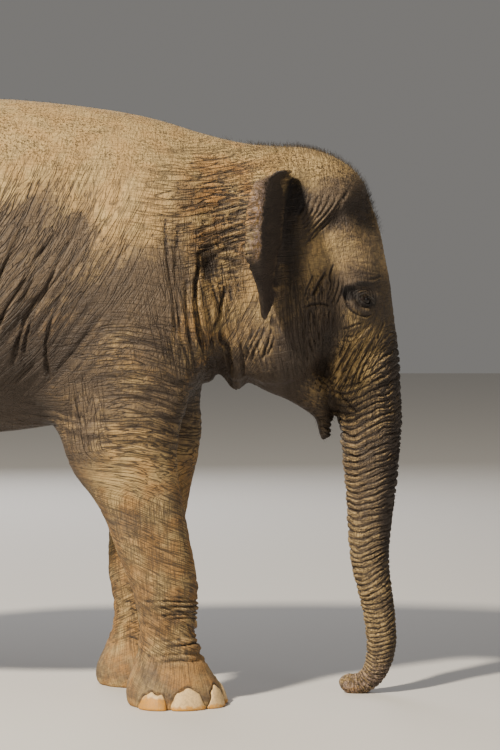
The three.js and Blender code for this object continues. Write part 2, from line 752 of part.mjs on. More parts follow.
// ---------------------------------------------------------------- eyes
// Each eyeball sits in a socket of its own shape, its middle EYE.depth inside the flesh.
const eyes = {};
const eyeball = (radius) => solidOf(new THREE.SphereGeometry(radius, 10, 7));
for (const [name, side] of Object.entries(SIDES)) {
  const place = [EYE.x, side * (outermost(faceField, EYE, [0, 1, 0]) - EYE.depth), EYE.z];
  eyes[`eye_${name}`] = eyeball(EYE.radius).translate(place);
  flesh.head = flesh.head.subtract(eyeball(EYE.radius + PARTING).translate(place));
}

// ---------------------------------------------------------------- toenails
// Nails stand round the front of each foot, worn flat underneath. Angles run from straight
// ahead towards the outer side, and the sizes are half widths and heights.
const NAIL_THICKNESS = 30;
const NAIL_LEAN = 12; // degrees, with the side of the foot
const NAIL_FOOT = 4; // height of the worn edge above the ground
const TOES = {
  forefoot: [
    { angle: 121, wide: 60, high: 76 },
    { angle: 71, wide: 70, high: 94 },
    { angle: 27, wide: 56, high: 90 },
    { angle: -11, wide: 51, high: 86 },
    { angle: -48, wide: 47, high: 76 },
  ],
  hindfoot: [
    { angle: 66, wide: 50, high: 74 },
    { angle: 24, wide: 53, high: 84 },
    { angle: -15, wide: 49, high: 82 },
    { angle: -52, wide: 44, high: 72 },
  ],
};

// A nail is an oval dome, cut off at the skin of the foot.
function nail({ angle, wide, high }, foot, side) {
  const bone = profile(LEG_LINES[foot.replace("foot", "leg")])(NAIL_FOOT);
  const turn = (side * angle * Math.PI) / 180;
  const centre = { x: bone.x, y: side * bone.y, z: high / 2 };
  const reach = outermost(bodyField, centre, [Math.cos(turn), Math.sin(turn), 0]);
  const shape = new THREE.SphereGeometry(1, 8, 4);
  shape.rotateZ(-Math.PI / 2);
  shape.scale(NAIL_THICKNESS, wide, high);
  shape.rotateY((-NAIL_LEAN * Math.PI) / 180);
  shape.translate(reach - NAIL_THICKNESS / 3, 0, NAIL_FOOT);
  shape.rotateZ(turn);
  shape.translate(centre.x, centre.y, 0);
  const gap = [PARTING * Math.cos(turn), PARTING * Math.sin(turn), 0];
  const worn = behind([0, 0, NAIL_FOOT], [0, 0, -1]);
  return solidOf(shape).intersect(worn).subtract(flesh[foot]).translate(gap);
}

const nails = {};
for (const [limb, toes] of Object.entries(TOES))
  for (const [sideName, side] of Object.entries(SIDES)) {
    const foot = `${limb}_${sideName}`;
    toes.forEach((toe, n) => {
      nails[`${foot}_nail_${n + 1}`] = nail(toe, foot, side);
    });
  }

// ---------------------------------------------------------------- the elephant
const finish = {
  skin: { color: 0x8f7b62, roughness: 0.95, metalness: 0 },
  eye: { color: 0x1d120b, roughness: 0.12, metalness: 0 },
  toenail: { color: 0xcbb892, roughness: 0.6, metalness: 0 },
};
const elephant = new THREE.Group();

function place(solids, look) {
  for (const [name, body] of Object.entries(solids)) {
    const { numProp, vertProperties, triVerts } = body.getMesh();
    const geometry = new THREE.BufferGeometry();
    geometry.setAttribute("position", new THREE.BufferAttribute(vertProperties, numProp));
    geometry.setIndex(new THREE.BufferAttribute(triVerts, 1));
    geometry.computeVertexNormals();
    const mesh = new THREE.Mesh(geometry, new THREE.MeshStandardMaterial(look));
    mesh.name = name;
    elephant.add(mesh);
  }
}
place(flesh, finish.skin);
place(eyes, finish.eye);
place(nails, finish.toenail);

// The origin is on the ground, under the middle of the animal.
const box = new THREE.Box3().setFromObject(elephant);
const middle = box.getCenter(new THREE.Vector3());
elephant.position.set(-middle.x, -middle.y, -box.min.z);

export default elephant;
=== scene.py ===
import math

import bmesh
import bpy
import numpy as np
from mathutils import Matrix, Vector
from mathutils.bvhtree import BVHTree


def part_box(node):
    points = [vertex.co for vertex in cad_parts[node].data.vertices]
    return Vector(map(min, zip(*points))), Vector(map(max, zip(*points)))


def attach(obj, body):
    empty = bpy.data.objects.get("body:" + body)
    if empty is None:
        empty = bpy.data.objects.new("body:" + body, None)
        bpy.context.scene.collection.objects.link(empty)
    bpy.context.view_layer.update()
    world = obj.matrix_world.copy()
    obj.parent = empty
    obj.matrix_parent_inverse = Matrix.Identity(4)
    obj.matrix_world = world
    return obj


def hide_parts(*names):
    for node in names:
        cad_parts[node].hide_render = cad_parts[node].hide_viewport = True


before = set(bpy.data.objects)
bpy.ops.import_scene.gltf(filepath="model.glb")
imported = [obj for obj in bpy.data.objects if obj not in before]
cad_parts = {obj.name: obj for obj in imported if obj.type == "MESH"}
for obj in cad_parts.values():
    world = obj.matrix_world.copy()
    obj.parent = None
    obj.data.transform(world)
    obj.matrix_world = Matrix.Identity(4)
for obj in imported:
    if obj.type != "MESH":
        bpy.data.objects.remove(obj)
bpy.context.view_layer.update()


# ---------------------------------------------------------------- studio
# A plain pale floor under soft studio light: a broad key lamp high on the near left, a
# weaker fill from the front of the animal, a soft lamp for its far side and a pale surround.
FLOOR_HALF_WIDTH = 30.0
FLOOR_COLOUR = (0.62, 0.60, 0.57)
SURROUND_COLOUR = (0.90, 0.87, 0.83)

floor_form = bmesh.new()
bmesh.ops.create_grid(floor_form, x_segments=1, y_segments=1, size=FLOOR_HALF_WIDTH)
floor_mesh = bpy.data.meshes.new("studio_floor")
floor_form.to_mesh(floor_mesh)
floor_form.free()
floor = bpy.data.objects.new("studio_floor", floor_mesh)
bpy.context.collection.objects.link(floor)

paint = bpy.data.materials.new("floor_paint")
paint.use_nodes = True
paint_shader = paint.node_tree.nodes["Principled BSDF"]
paint_shader.inputs["Base Color"].default_value = (*FLOOR_COLOUR, 1)
paint_shader.inputs["Roughness"].default_value = 0.9
floor_mesh.materials.append(paint)

surround = bpy.data.worlds.new("surround")
surround.use_nodes = True
surround_light = surround.node_tree.nodes["Background"]
surround_light.inputs["Color"].default_value = (*SURROUND_COLOUR, 1)
surround_light.inputs["Strength"].default_value = 0.22
bpy.context.scene.world = surround


def softbox(name, place, aim, size, watts, colour):
    lamp = bpy.data.lights.new(name, "AREA")
    lamp.shape = "DISK"
    lamp.size = size
    lamp.energy = watts
    lamp.color = colour
    holder = bpy.data.objects.new(name, lamp)
    holder.location = place
    holder.rotation_euler = (Vector(aim) - Vector(place)).to_track_quat("-Z", "Y").to_euler()
    bpy.context.collection.objects.link(holder)


softbox("key_lamp", (-5.2, -7.6, 9.6), (0.4, 0, 1.2), 1.0, 3450, (1.0, 0.90, 0.74))
softbox("fill_lamp", (7.0, -5.0, 3.0), (0.6, 0, 1.2), 4.0, 60, (0.92, 0.94, 1.0))
softbox("far_lamp", (-1.5, 9.0, 5.0), (0, 0, 1.1), 6.0, 420, (0.96, 0.96, 1.0))

# The camera stands level with the eye, far off to the animal's right, and looks slightly down.
CAMERA_PLACE = (1.0658, -10.0, 1.65)
CAMERA_DIP = 2.4  # degrees below level
LENS_LENGTH = 124.7
camera_lens = bpy.data.cameras.new("camera")
camera_lens.lens = LENS_LENGTH
camera_lens.sensor_width = 36
camera = bpy.data.objects.new("camera", camera_lens)
camera.location = CAMERA_PLACE
camera.rotation_euler = (math.radians(90 - CAMERA_DIP), 0, 0)
bpy.context.collection.objects.link(camera)
bpy.context.scene.camera = camera


# ---------------------------------------------------------------- skin: form
# The hide is one unbroken sheet over the whole animal, from the trunk's finger to the tail.
# Copies of the solids of flesh are melted into one shape and their facets are relaxed.
FLESH = [
    "torso", "neck", "head", "jaw",
    "trunk_upper", "trunk_middle", "trunk_lower", "trunk_tip",
    "foreleg_right", "foreleg_left", "hindleg_right", "hindleg_left",
    "forefoot_right", "forefoot_left", "hindfoot_right", "hindfoot_left",
]
THIN_FLESH = ["ear_right", "ear_left", "tail", "tail_brush"]
SEAM_OVERLAP = 0.0016
ROOT_DEPTH = 0.035  # how far the roots of ears and tail reach into the body
ROOT_REACH = 0.006
THIN_SWELL = 0.0030
LIP_GAP = 0.016
JAW_DROOP = 0.022
CHIN_PUSH = 0.016
TAIL_START_X = -1.4
COARSE_GRAIN = 0.011
FINE_GRAIN = 0.0066


def melted_copy(nodes):
    form = bmesh.new()
    for node in nodes:
        form.from_mesh(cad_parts[node].data)
    bmesh.ops.remove_doubles(form, verts=form.verts, dist=1e-5)
    form.normal_update()
    return form


def as_object(form, name):
    mesh = bpy.data.meshes.new(name)
    form.to_mesh(mesh)
    form.free()
    piece = bpy.data.objects.new(name, mesh)
    bpy.context.collection.objects.link(piece)
    return piece


def apply_modifiers(piece):
    ready = piece.evaluated_get(bpy.context.evaluated_depsgraph_get())
    mesh = bpy.data.meshes.new_from_object(ready)
    piece.modifiers.clear()
    old, piece.data = piece.data, mesh
    bpy.data.meshes.remove(old)


def remesh(piece, grain):
    change = piece.modifiers.new("melt", "REMESH")
    change.mode = "VOXEL"
    change.voxel_size = grain
    apply_modifiers(piece)


def places(mesh):
    flat = np.empty(len(mesh.vertices) * 3, np.float32)
    mesh.vertices.foreach_get("co", flat)
    return flat.reshape(-1, 3).astype(float)


def normals_of(mesh):
    flat = np.empty(len(mesh.vertices) * 3, np.float32)
    mesh.vertices.foreach_get("normal", flat)
    return flat.reshape(-1, 3).astype(float)


def put(mesh, points):
    mesh.vertices.foreach_set("co", points.astype(np.float32).ravel())
    mesh.update()


def edges_of(mesh):
    flat = np.empty(len(mesh.edges) * 2, np.int32)
    mesh.edges.foreach_get("vertices", flat)
    return flat.reshape(-1, 2)


class Relaxer:
    """Draws each point of a mesh towards the mean of its neighbours."""

    def __init__(self, mesh):
        pairs = edges_of(mesh)
        self.start = np.concatenate([pairs[:, 0], pairs[:, 1]])
        self.end = np.concatenate([pairs[:, 1], pairs[:, 0]])
        self.count = len(mesh.vertices)
        self.links = np.maximum(np.bincount(self.start, minlength=self.count), 1)

    def mean(self, values):
        columns = range(values.shape[1])
        total = [np.bincount(self.start, values[self.end, n], self.count) for n in columns]
        return np.stack(total, 1) / self.links[:, None]

    def ease(self, values, rounds, share=0.5):
        for _ in range(rounds):
            values = values + share * (self.mean(values) - values)
        return values

    def ease_without_shrinking(self, values, rounds, share=0.5):
        once = self.ease(values, rounds, share)
        return once + self.ease(values - once, rounds, share)


def fade(low, high, value):
    """Rises smoothly from 0 to 1 as value goes from low to high."""
    t = np.clip((value - low) / (high - low), 0, 1)
    return t * t * (3 - 2 * t)


# The lower lip hangs free of the trunk, so the two draw back from the thin cut between them.
MOUTH_PARTS = [  # nodes, how far they draw back, and how far they droop and push forward at the chin
    ([name for name in FLESH if name != "jaw"], LIP_GAP / 2, 0, 0),
    (["jaw"], -LIP_GAP, JAW_DROOP, CHIN_PUSH),
]
flesh = as_object(bmesh.new(), "flesh")
for names, draw_back, droop, push in MOUTH_PARTS:
    form = melted_copy(names)
    for corner in form.verts:
        at_x, _, at_z = corner.co
        free = fade(1.15, 1.10, at_z) * fade(0.93, 1.0, at_z)
        free = free * fade(1.29, 1.36, at_x) * fade(1.50, 1.43, at_x)
        corner.co += corner.normal * SEAM_OVERLAP
        corner.co.x += draw_back * free
        corner.co.z -= droop * fade(1.10, 0.99, at_z)
        corner.co.x += push * fade(1.14, 1.06, at_z) * fade(1.37, 1.31, at_x)
    part = as_object(form, "part")
    with bpy.context.temp_override(active_object=flesh, selected_editable_objects=[flesh, part]):
        bpy.ops.object.join()
remesh(flesh, COARSE_GRAIN)

# Toes, soles, chin and trunk stay firm while the rest of the body is smoothed.
relaxer = Relaxer(flesh.data)
rough = places(flesh.data)
x, y, z = rough.T
near_trunk = fade(1.30, 1.37, x) * fade(1.30, 1.15, z)
near_chin = fade(1.16, 1.22, x) * fade(1.30, 1.18, z)
near_sole = fade(0.10, 0.03, z)
near_toes = fade(0.30, 0.20, z) * 0.75
firm = np.clip(np.maximum.reduce([near_trunk, near_chin, near_sole, near_toes]), 0, 1)
share = (0.5 * (1 - 0.88 * firm))[:, None]
soft = relaxer.ease_without_shrinking(rough, 70, share)
soft[:, 2] = np.maximum(soft[:, 2], 0)
put(flesh.data, soft)

# Ears and tail are too thin to be smoothed so hard. They are rounded on their own, with their
# roots sunk in the body, and the tail's bone is thin where its tuft of hair hangs round it.
body_tree = BVHTree.FromObject(flesh, bpy.context.evaluated_depsgraph_get())
thin_form = melted_copy(THIN_FLESH)
tuft_low, tuft_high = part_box("tail_brush")
for corner in thin_form.verts:
    corner.co += corner.normal * THIN_SWELL
    if corner.co.x < TAIL_START_X:
        in_tuft = fade(tuft_high.z, tuft_high.z - 0.08, corner.co.z)
        corner.co.x += 0.35 * in_tuft * ((tuft_low.x + tuft_high.x) / 2 - corner.co.x)
        corner.co.y *= 1 - 0.45 * in_tuft
        corner.co.z = max(corner.co.z, tuft_low.z + 0.05 + 0.25 * (corner.co.z - tuft_low.z))
    spot, way, _, _ = body_tree.find_nearest(corner.co)
    if (corner.co - spot).dot(way) < ROOT_REACH:
        corner.co -= way * ROOT_DEPTH
thin = as_object(thin_form, "thin_flesh")
swell = thin.modifiers.new("round", "SUBSURF")
swell.levels = swell.render_levels = 3
apply_modifiers(thin)

with bpy.context.temp_override(active_object=flesh, selected_editable_objects=[flesh, thin]):
    bpy.ops.object.join()
remesh(flesh, FINE_GRAIN)
relaxer = Relaxer(flesh.data)
points = places(flesh.data)
x, y, z = points.T
is_ear = fade(0.29, 0.34, np.abs(y)) * (x > 1.04) * (x < 1.30) * (z > 1.38)
ease_share = 0.5 * np.maximum(is_ear, 0.25)[:, None]
points = relaxer.ease_without_shrinking(points, 12, ease_share)
points[:, 2] = np.maximum(points[:, 2], 0)
put(flesh.data, points)

# The great folds hang from shoulder and neck. Each is a line of (x, z) in the side view, with
# its width, its depth and how much of that depth its first end has.
GREAT_FOLDS = [
    ([(0.545, 1.980), (0.523, 1.941), (0.488, 1.853), (0.464, 1.795), (0.424, 1.760)], 0.0050, 0.0040, 0.4),
    ([(0.464, 1.795), (0.424, 1.760), (0.380, 1.692), (0.351, 1.633), (0.321, 1.569), (0.267, 1.490),
      (0.235, 1.420), (0.205, 1.340), (0.185, 1.250)], 0.0072, 0.019, 0.10),
    ([(0.493, 1.780), (0.444, 1.716), (0.395, 1.643), (0.336, 1.574), (0.300, 1.520), (0.270, 1.460),
      (0.245, 1.380), (0.225, 1.290)], 0.0065, 0.013, 0.3),
    ([(0.415, 1.814), (0.361, 1.775), (0.302, 1.701), (0.262, 1.638), (0.233, 1.579), (0.179, 1.500),
      (0.140, 1.420), (0.100, 1.330)], 0.0072, 0.016, 0.10),
    ([(0.272, 1.853), (0.238, 1.780), (0.204, 1.716), (0.169, 1.643), (0.150, 1.598), (0.115, 1.520)],
     0.0075, 0.014, 0.25),
    ([(0.621, 2.049), (0.606, 1.990), (0.581, 1.902), (0.552, 1.834), (0.523, 1.785), (0.488, 1.721)],
     0.0045, 0.0035, 0.6),
    ([(0.330, 1.740), (0.290, 1.660), (0.262, 1.590), (0.225, 1.520)], 0.0060, 0.008, 0.3),
    ([(0.672, 1.762), (0.640, 1.730), (0.605, 1.700), (0.570, 1.678)], 0.0045, 0.0028, 0.5),
    ([(0.170, 1.880), (0.120, 1.790), (0.080, 1.700), (0.050, 1.620)], 0.0065, 0.008, 0.3),
    ([(0.060, 1.850), (0.010, 1.740), (-0.030, 1.650)], 0.0065, 0.006, 0.4),
    ([(0.395, 1.560), (0.350, 1.480), (0.322, 1.390), (0.318, 1.290), (0.325, 1.200)], 0.0075, 0.013, 0.5),
    ([(0.430, 1.240), (0.428, 1.140), (0.442, 1.040), (0.468, 0.940), (0.495, 0.850)], 0.0045, 0.0024, 0.5),
    ([(0.755, 1.890), (0.755, 1.756), (0.765, 1.657), (0.780, 1.558), (0.790, 1.460), (0.795, 1.380)],
     0.0060, 0.010, 0.25),
    ([(0.805, 1.855), (0.797, 1.732), (0.790, 1.608), (0.800, 1.500), (0.815, 1.390)], 0.0055, 0.008, 0.25),
    ([(0.884, 1.740), (0.876, 1.654), (0.866, 1.549), (0.876, 1.417), (0.902, 1.290)], 0.0085, 0.025, 0.35),
    ([(0.976, 1.600), (0.965, 1.519), (0.954, 1.473), (0.931, 1.420), (0.926, 1.360), (0.930, 1.310)],
     0.0068, 0.015, 0.5),
    ([(0.998, 1.140), (0.992, 1.240), (0.988, 1.297), (0.979, 1.343), (0.958, 1.378), (0.952, 1.430)],
     0.0085, 0.014, 1.9),
    ([(1.030, 1.420), (1.032, 1.358), (1.035, 1.309), (1.040, 1.251), (1.044, 1.180)], 0.0068, 0.016, 0.4),
    ([(1.109, 1.431), (1.086, 1.381), (1.055, 1.316), (1.044, 1.278)], 0.0048, 0.0085, 0.5),
    ([(1.131, 1.435), (1.109, 1.389), (1.086, 1.343), (1.070, 1.290)], 0.0048, 0.0085, 0.5),
    ([(1.149, 1.431), (1.139, 1.385), (1.122, 1.336), (1.109, 1.293)], 0.0052, 0.0105, 0.5),
    ([(1.089, 1.423), (1.067, 1.374), (1.047, 1.332), (1.036, 1.290)], 0.0046, 0.0070, 0.5),
    ([(1.158, 1.400), (1.147, 1.351), (1.128, 1.310)], 0.0046, 0.0075, 0.6),
    ([(0.835, 1.660), (0.832, 1.550), (0.838, 1.420), (0.852, 1.330)], 0.0055, 0.007, 0.6),
]
FOLD_REACH = 0.026
THROAT_HALF_WIDTH = 0.12
TOE_REACH = 0.13
WRIST_REACH = 0.48

# Round those folds, on the toes and above the forefeet the mesh is made closer.
x, y, z = places(flesh.data).T
spots = np.stack([x, z], 1)
by_fold = np.zeros(len(spots), bool)
for stops, _, _, _ in GREAT_FOLDS:
    for start, end in zip(np.array(stops[:-1]), np.array(stops[1:])):
        run = end - start
        share = np.clip(((spots - start) @ run) / (run @ run), 0, 1)
        by_fold |= np.hypot(*(spots - start - share[:, None] * run).T) < FOLD_REACH
by_fold &= np.abs(y) > THROAT_HALF_WIDTH
by_fold |= (z < TOE_REACH) & (x > 0.3)
by_fold |= (z < WRIST_REACH) & (x > 0.74) & (x < 1.2)
fold_form = bmesh.new()
fold_form.from_mesh(flesh.data)
fold_form.verts.ensure_lookup_table()
fold_edges = [e for e in fold_form.edges if by_fold[e.verts[0].index] and by_fold[e.verts[1].index]]
bmesh.ops.subdivide_edges(fold_form, edges=fold_edges, cuts=1, use_grid_fill=True)
fold_form.to_mesh(flesh.data)
fold_form.free()

# The face and the trunk get a closer mesh for their deeper wrinkles, and the lids one closer still.
FACE_START_X = 1.20
LID_REACH = 0.078
EYE_TURN = math.radians(35)
EYE_RISE = 0.06


def eye_frame(side):
    """The middle of an eyeball, and unit ways forward along the face, up and outward."""
    low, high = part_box(f"eye_{side}")
    sign = -1 if side == "right" else 1
    out = Vector((math.sin(EYE_TURN), sign * math.cos(EYE_TURN), EYE_RISE)).normalized()
    forward = Vector((0, 0, 1)).cross(out).normalized() * -sign
    up = out.cross(forward) * sign
    return np.array((low + high) / 2), np.array([forward, up * (1 if up.z > 0 else -1), out])


close_form = bmesh.new()
close_form.from_mesh(flesh.data)
face_edges = [e for e in close_form.edges if min(v.co.x for v in e.verts) > FACE_START_X]
bmesh.ops.subdivide_edges(close_form, edges=face_edges, cuts=1, use_grid_fill=True)
eyes = [Vector(eye_frame(side)[0]) for side in ("right", "left")]
lid_edges = [
    e for e in close_form.edges
    if min((e.verts[0].co - eye).length for eye in eyes) < LID_REACH
]
bmesh.ops.subdivide_edges(close_form, edges=lid_edges, cuts=1, use_grid_fill=True)
close_form.to_mesh(flesh.data)
close_form.free()
relaxer = Relaxer(flesh.data)
base = relaxer.ease_without_shrinking(places(flesh.data), 2)
base[:, 2] = np.maximum(base[:, 2], 0)
put(flesh.data, base)
outward = relaxer.ease(normals_of(flesh.data), 4)
outward /= np.linalg.norm(outward, axis=1)[:, None]


# ---------------------------------------------------------------- skin: noise and folds
# Elephant hide is slack and an inch thick. It lies in pillows between creases, and every
# relief below is a depth in metres along the outward direction of the smooth body.
SHUFFLE = np.random.default_rng(11).permutation(256)
SLOPES = np.random.default_rng(12).normal(size=(256, 3)).astype(np.float32)
SLOPES /= np.linalg.norm(SLOPES, axis=1)[:, None]
relief = np.zeros(len(base))
x, y, z = base.T  # the masks and folds below are worked out at these places
aside = np.abs(y)


def cubic(knots, values, ticks):
    """Reads values given at the knots as a smooth curve at the ticks."""
    slopes = np.gradient(values, knots)
    n = np.clip(np.searchsorted(knots, ticks) - 1, 0, len(knots) - 2)
    span = knots[n + 1] - knots[n]
    t = (ticks - knots[n]) / span
    return (
        (2 * t**3 - 3 * t**2 + 1) * values[n]
        + (t**3 - 2 * t**2 + t) * span * slopes[n]
        + (3 * t**2 - 2 * t**3) * values[n + 1]
        + (t**3 - t**2) * span * slopes[n + 1]
    )


def swells(grid, seed=0):
    """Smooth noise from about -1 to 1, with one swell in each unit of the grid."""
    cell = np.floor(grid).astype(np.int32)
    local = (grid - cell).astype(np.float32)
    blend = local**3 * (local * (local * 6 - 15) + 10)
    total = np.zeros(len(grid), np.float32)
    for corner in range(8):
        step = np.array([corner & 1, corner >> 1 & 1, corner >> 2])
        i, j, k = (cell + step + seed * 37).T & 255
        slope = SLOPES[SHUFFLE[(SHUFFLE[(SHUFFLE[i] + j) & 255] + k) & 255]]
        weight = np.where(step, blend, 1 - blend).prod(1)
        total += weight * ((local - step) * slope).sum(1)
    return 1.7 * total


def wander(points, size, seed):
    """Slow drift that keeps folds from running straight."""
    return swells(points / size, seed)


def oval(middle, halves, tilt=0.0, soft=0.5):
    """1 inside an oval of the side view, on both sides of the body, and 0 outside it."""
    across, up = x - middle[0], z - middle[1]
    turn = math.radians(tilt)
    along = (across * math.cos(turn) + up * math.sin(turn)) / halves[0]
    beside = (up * math.cos(turn) - across * math.sin(turn)) / halves[1]
    return 1 - fade(1 - soft, 1 + soft, np.hypot(along, beside))


def crease(where, across, along, beyond, spacing, length, depth, seed, sharp=0.2):
    """Many long creases side by side. They cross the `across` direction and wander."""
    part = np.nonzero(where > 0.02)[0]
    if len(part) == 0:
        return
    grid = np.stack([across[part] / spacing, along[part] / length, beyond[part] / length], 1)
    noise = swells(grid, seed)
    pillow = np.exp(-((noise / sharp) ** 2)) - 0.4
    relief[part] -= depth * where[part] * pillow


def fold(line, width, depth, lip=0.4, seed=0, start=0.6):
    """One fold of the side view, on both sides: a groove through the points with a lip behind it."""
    stops = np.array(line, float)
    knots = np.concatenate([[0], np.cumsum(np.hypot(*np.diff(stops, axis=0).T))])
    ticks = np.linspace(0, knots[-1], 40)
    way = np.stack([cubic(knots, stops[:, 0], ticks), cubic(knots, stops[:, 1], ticks)], 1)
    low, high = way.min(0) - 6 * width, way.max(0) + 6 * width
    part = np.nonzero((x > low[0]) & (x < high[0]) & (z > low[1]) & (z < high[1]))[0]
    spots = base[part][:, [0, 2]]
    drift = 0.5 * width * swells(base[part] / 0.05, seed)
    best = np.full(len(part), 9.0)
    place = np.zeros(len(part))
    for n in range(len(way) - 1):
        run = way[n + 1] - way[n]
        size = np.hypot(*run)
        t = np.clip(((spots - way[n]) @ run) / size**2, 0, 1)
        gap = spots - way[n] - t[:, None] * run
        side = (gap[:, 0] * run[1] - gap[:, 1] * run[0]) / size
        distance = np.hypot(*gap.T)
        near = distance < np.abs(best)
        best[near] = (np.where(side < 0, -1, 1) * distance)[near]
        place[near] = ((n + t) / (len(way) - 1))[near]
    best = best + drift
    taper = fade(0, 0.25, place) * fade(1, 0.82, place) * (start + (1 - start) * place)
    width = width * (0.75 + 0.25 * taper)
    groove = np.exp(-((best / width) ** 2))
    swell = np.exp(-(((best - 2.1 * width) / (1.5 * width)) ** 2))
    swell += 0.5 * np.exp(-(((best + 2.1 * width) / (1.5 * width)) ** 2))
    relief[part] += depth * taper * (lip * swell - groove) * fade(0.1, 0.35, np.abs(outward[part, 1]))


# ---------------------------------------------------------------- skin: trunk rings
# The trunk is a muscle without bones, and its hide is cut by a ring every two or three
# centimetres. Each ring drops from the front edge to a point near the back edge.
TRUNK_LINE = [  # (x, z, half depth) of the trunk's middle, from between the eyes to the tip
    (1.454, 1.520, 0.146), (1.505, 1.290, 0.133), (1.525, 1.060, 0.125), (1.532, 0.820, 0.099),
    (1.527, 0.525, 0.074), (1.564, 0.320, 0.061), (1.574, 0.210, 0.057), (1.566, 0.130, 0.052),
    (1.541, 0.072, 0.045), (1.498, 0.036, 0.039), (1.443, 0.038, 0.035), (1.420, 0.050, 0.030),
]
RING_SPACINGS = [(0.0, 0.030), (0.45, 0.028), (0.85, 0.024), (1.25, 0.019), (1.75, 0.013)]
RING_SLOPE = math.tan(math.radians(22))
RING_POINT = 0.62
POINT_ROUND = 0.018
RING_DEPTH = 0.0068
BLOCK = 40000  # points compared with the trunk's line at a time

line = np.array(TRUNK_LINE)
knots = np.concatenate([[0], np.cumsum(np.hypot(*np.diff(line[:, :2], axis=0).T))])
trunk_ticks = np.linspace(0, knots[-1], 500)
trunk_middle = np.stack([cubic(knots, line[:, n], trunk_ticks) for n in range(3)], 1)
heading = np.gradient(trunk_middle[:, :2], axis=0)
heading /= np.hypot(*heading.T)[:, None]
ring_stops, ring_gaps = np.array(RING_SPACINGS).T
rings_each = np.diff(trunk_ticks) / np.interp(trunk_ticks[1:], ring_stops, ring_gaps)
rings_counted = np.concatenate([[0], np.cumsum(rings_each)])


def along_trunk(points):
    """How far down the trunk each point is, how far before its middle line, and its half depth."""
    nearest = np.empty(len(points), int)
    flat = points[:, [0, 2]].astype(np.float32)
    stops = trunk_middle[:, :2].astype(np.float32)
    for start in range(0, len(points), BLOCK):
        gaps = flat[start:start + BLOCK, None] - stops[None]
        nearest[start:start + BLOCK] = (gaps[:, :, 0] ** 2 + gaps[:, :, 1] ** 2).argmin(1)
    away = points[:, [0, 2]] - trunk_middle[nearest, :2]
    ahead = -away[:, 0] * heading[nearest, 1] + away[:, 1] * heading[nearest, 0]
    return trunk_ticks[nearest], ahead, trunk_middle[nearest, 2]


def trunk_rings(points, down, ahead, half):
    """Where each point's ring starts down the trunk, the rings above it, and the phase of half rings."""
    start = down + RING_SLOPE * (np.sqrt((ahead + RING_POINT * half) ** 2 + POINT_ROUND**2) - POINT_ROUND)
    drifted = start + (0.007 * swells(points / 0.06, 1) + 0.014 * swells(points / 0.16, 2))
    ring = np.interp(drifted, trunk_ticks, rings_counted)
    return start, ring, 2 * math.pi * ring + 2 * swells(points / 0.03, 4)


trunk_part = np.nonzero(x > 1.25)[0]
down, ahead, half = along_trunk(base[trunk_part])
_, ring, between_rings = trunk_rings(base[trunk_part], down, ahead, half)
around = np.hypot(ahead, y[trunk_part]) / half
is_trunk = fade(1.7, 1.3, around) * fade(0.20, 0.34, down + 1.1 * ahead)
is_trunk *= fade(trunk_ticks[-1] - 0.01, trunk_ticks[-1] - 0.10, down)
depth = RING_DEPTH * np.clip(half / 0.09, 0.75, 1.1) * (1 + 0.9 * swells(base[trunk_part] / 0.045, 3))
back_edge = fade(-0.3, -0.75, ahead / half)
front_edge = fade(-0.1, 0.6, ahead / half)
relief[trunk_part] += is_trunk * depth * (np.abs(np.sin(math.pi * ring)) ** 0.6 - 0.7)
relief[trunk_part] += is_trunk * depth * back_edge * (np.abs(np.sin(math.pi * ring / 3)) ** 0.5 - 0.8)
half_rings = np.abs(np.sin(between_rings)) ** 0.6 - 0.7
relief[trunk_part] += (0.35 + 0.45 * front_edge) * is_trunk * depth * half_rings


# ---------------------------------------------------------------- skin: head
# Folds run down from the forehead to the root of the ear, a slit marks the temple gland, and
# fine wrinkles hang over cheek, lips and the sides of the trunk's root.
FOREHEAD_FAN = [  # from the middle of the forehead backwards, each a little shallower
    [(1.463, 1.979), (1.429, 1.923), (1.398, 1.863), (1.355, 1.807), (1.312, 1.764), (1.261, 1.717)],
    [(1.442, 1.961), (1.407, 1.897), (1.373, 1.846), (1.330, 1.798), (1.269, 1.725)],
    [(1.416, 1.940), (1.394, 1.880), (1.355, 1.824), (1.300, 1.770), (1.263, 1.738)],
    [(1.398, 1.944), (1.386, 1.895), (1.350, 1.845), (1.304, 1.795), (1.261, 1.752)],
    [(1.370, 1.944), (1.360, 1.897), (1.332, 1.850), (1.296, 1.806), (1.258, 1.766)],
    [(1.347, 1.944), (1.334, 1.897), (1.318, 1.858), (1.288, 1.812), (1.256, 1.780)],
    [(1.325, 1.930), (1.308, 1.875), (1.287, 1.834), (1.256, 1.795)],
    [(1.295, 1.931), (1.287, 1.888), (1.274, 1.850), (1.254, 1.815)],
    [(1.274, 1.914), (1.265, 1.880), (1.250, 1.840)],
]
for number, run in enumerate(FOREHEAD_FAN):
    fold(run, 0.0048, 0.0076 - 0.0004 * number, seed=number, start=0.5)
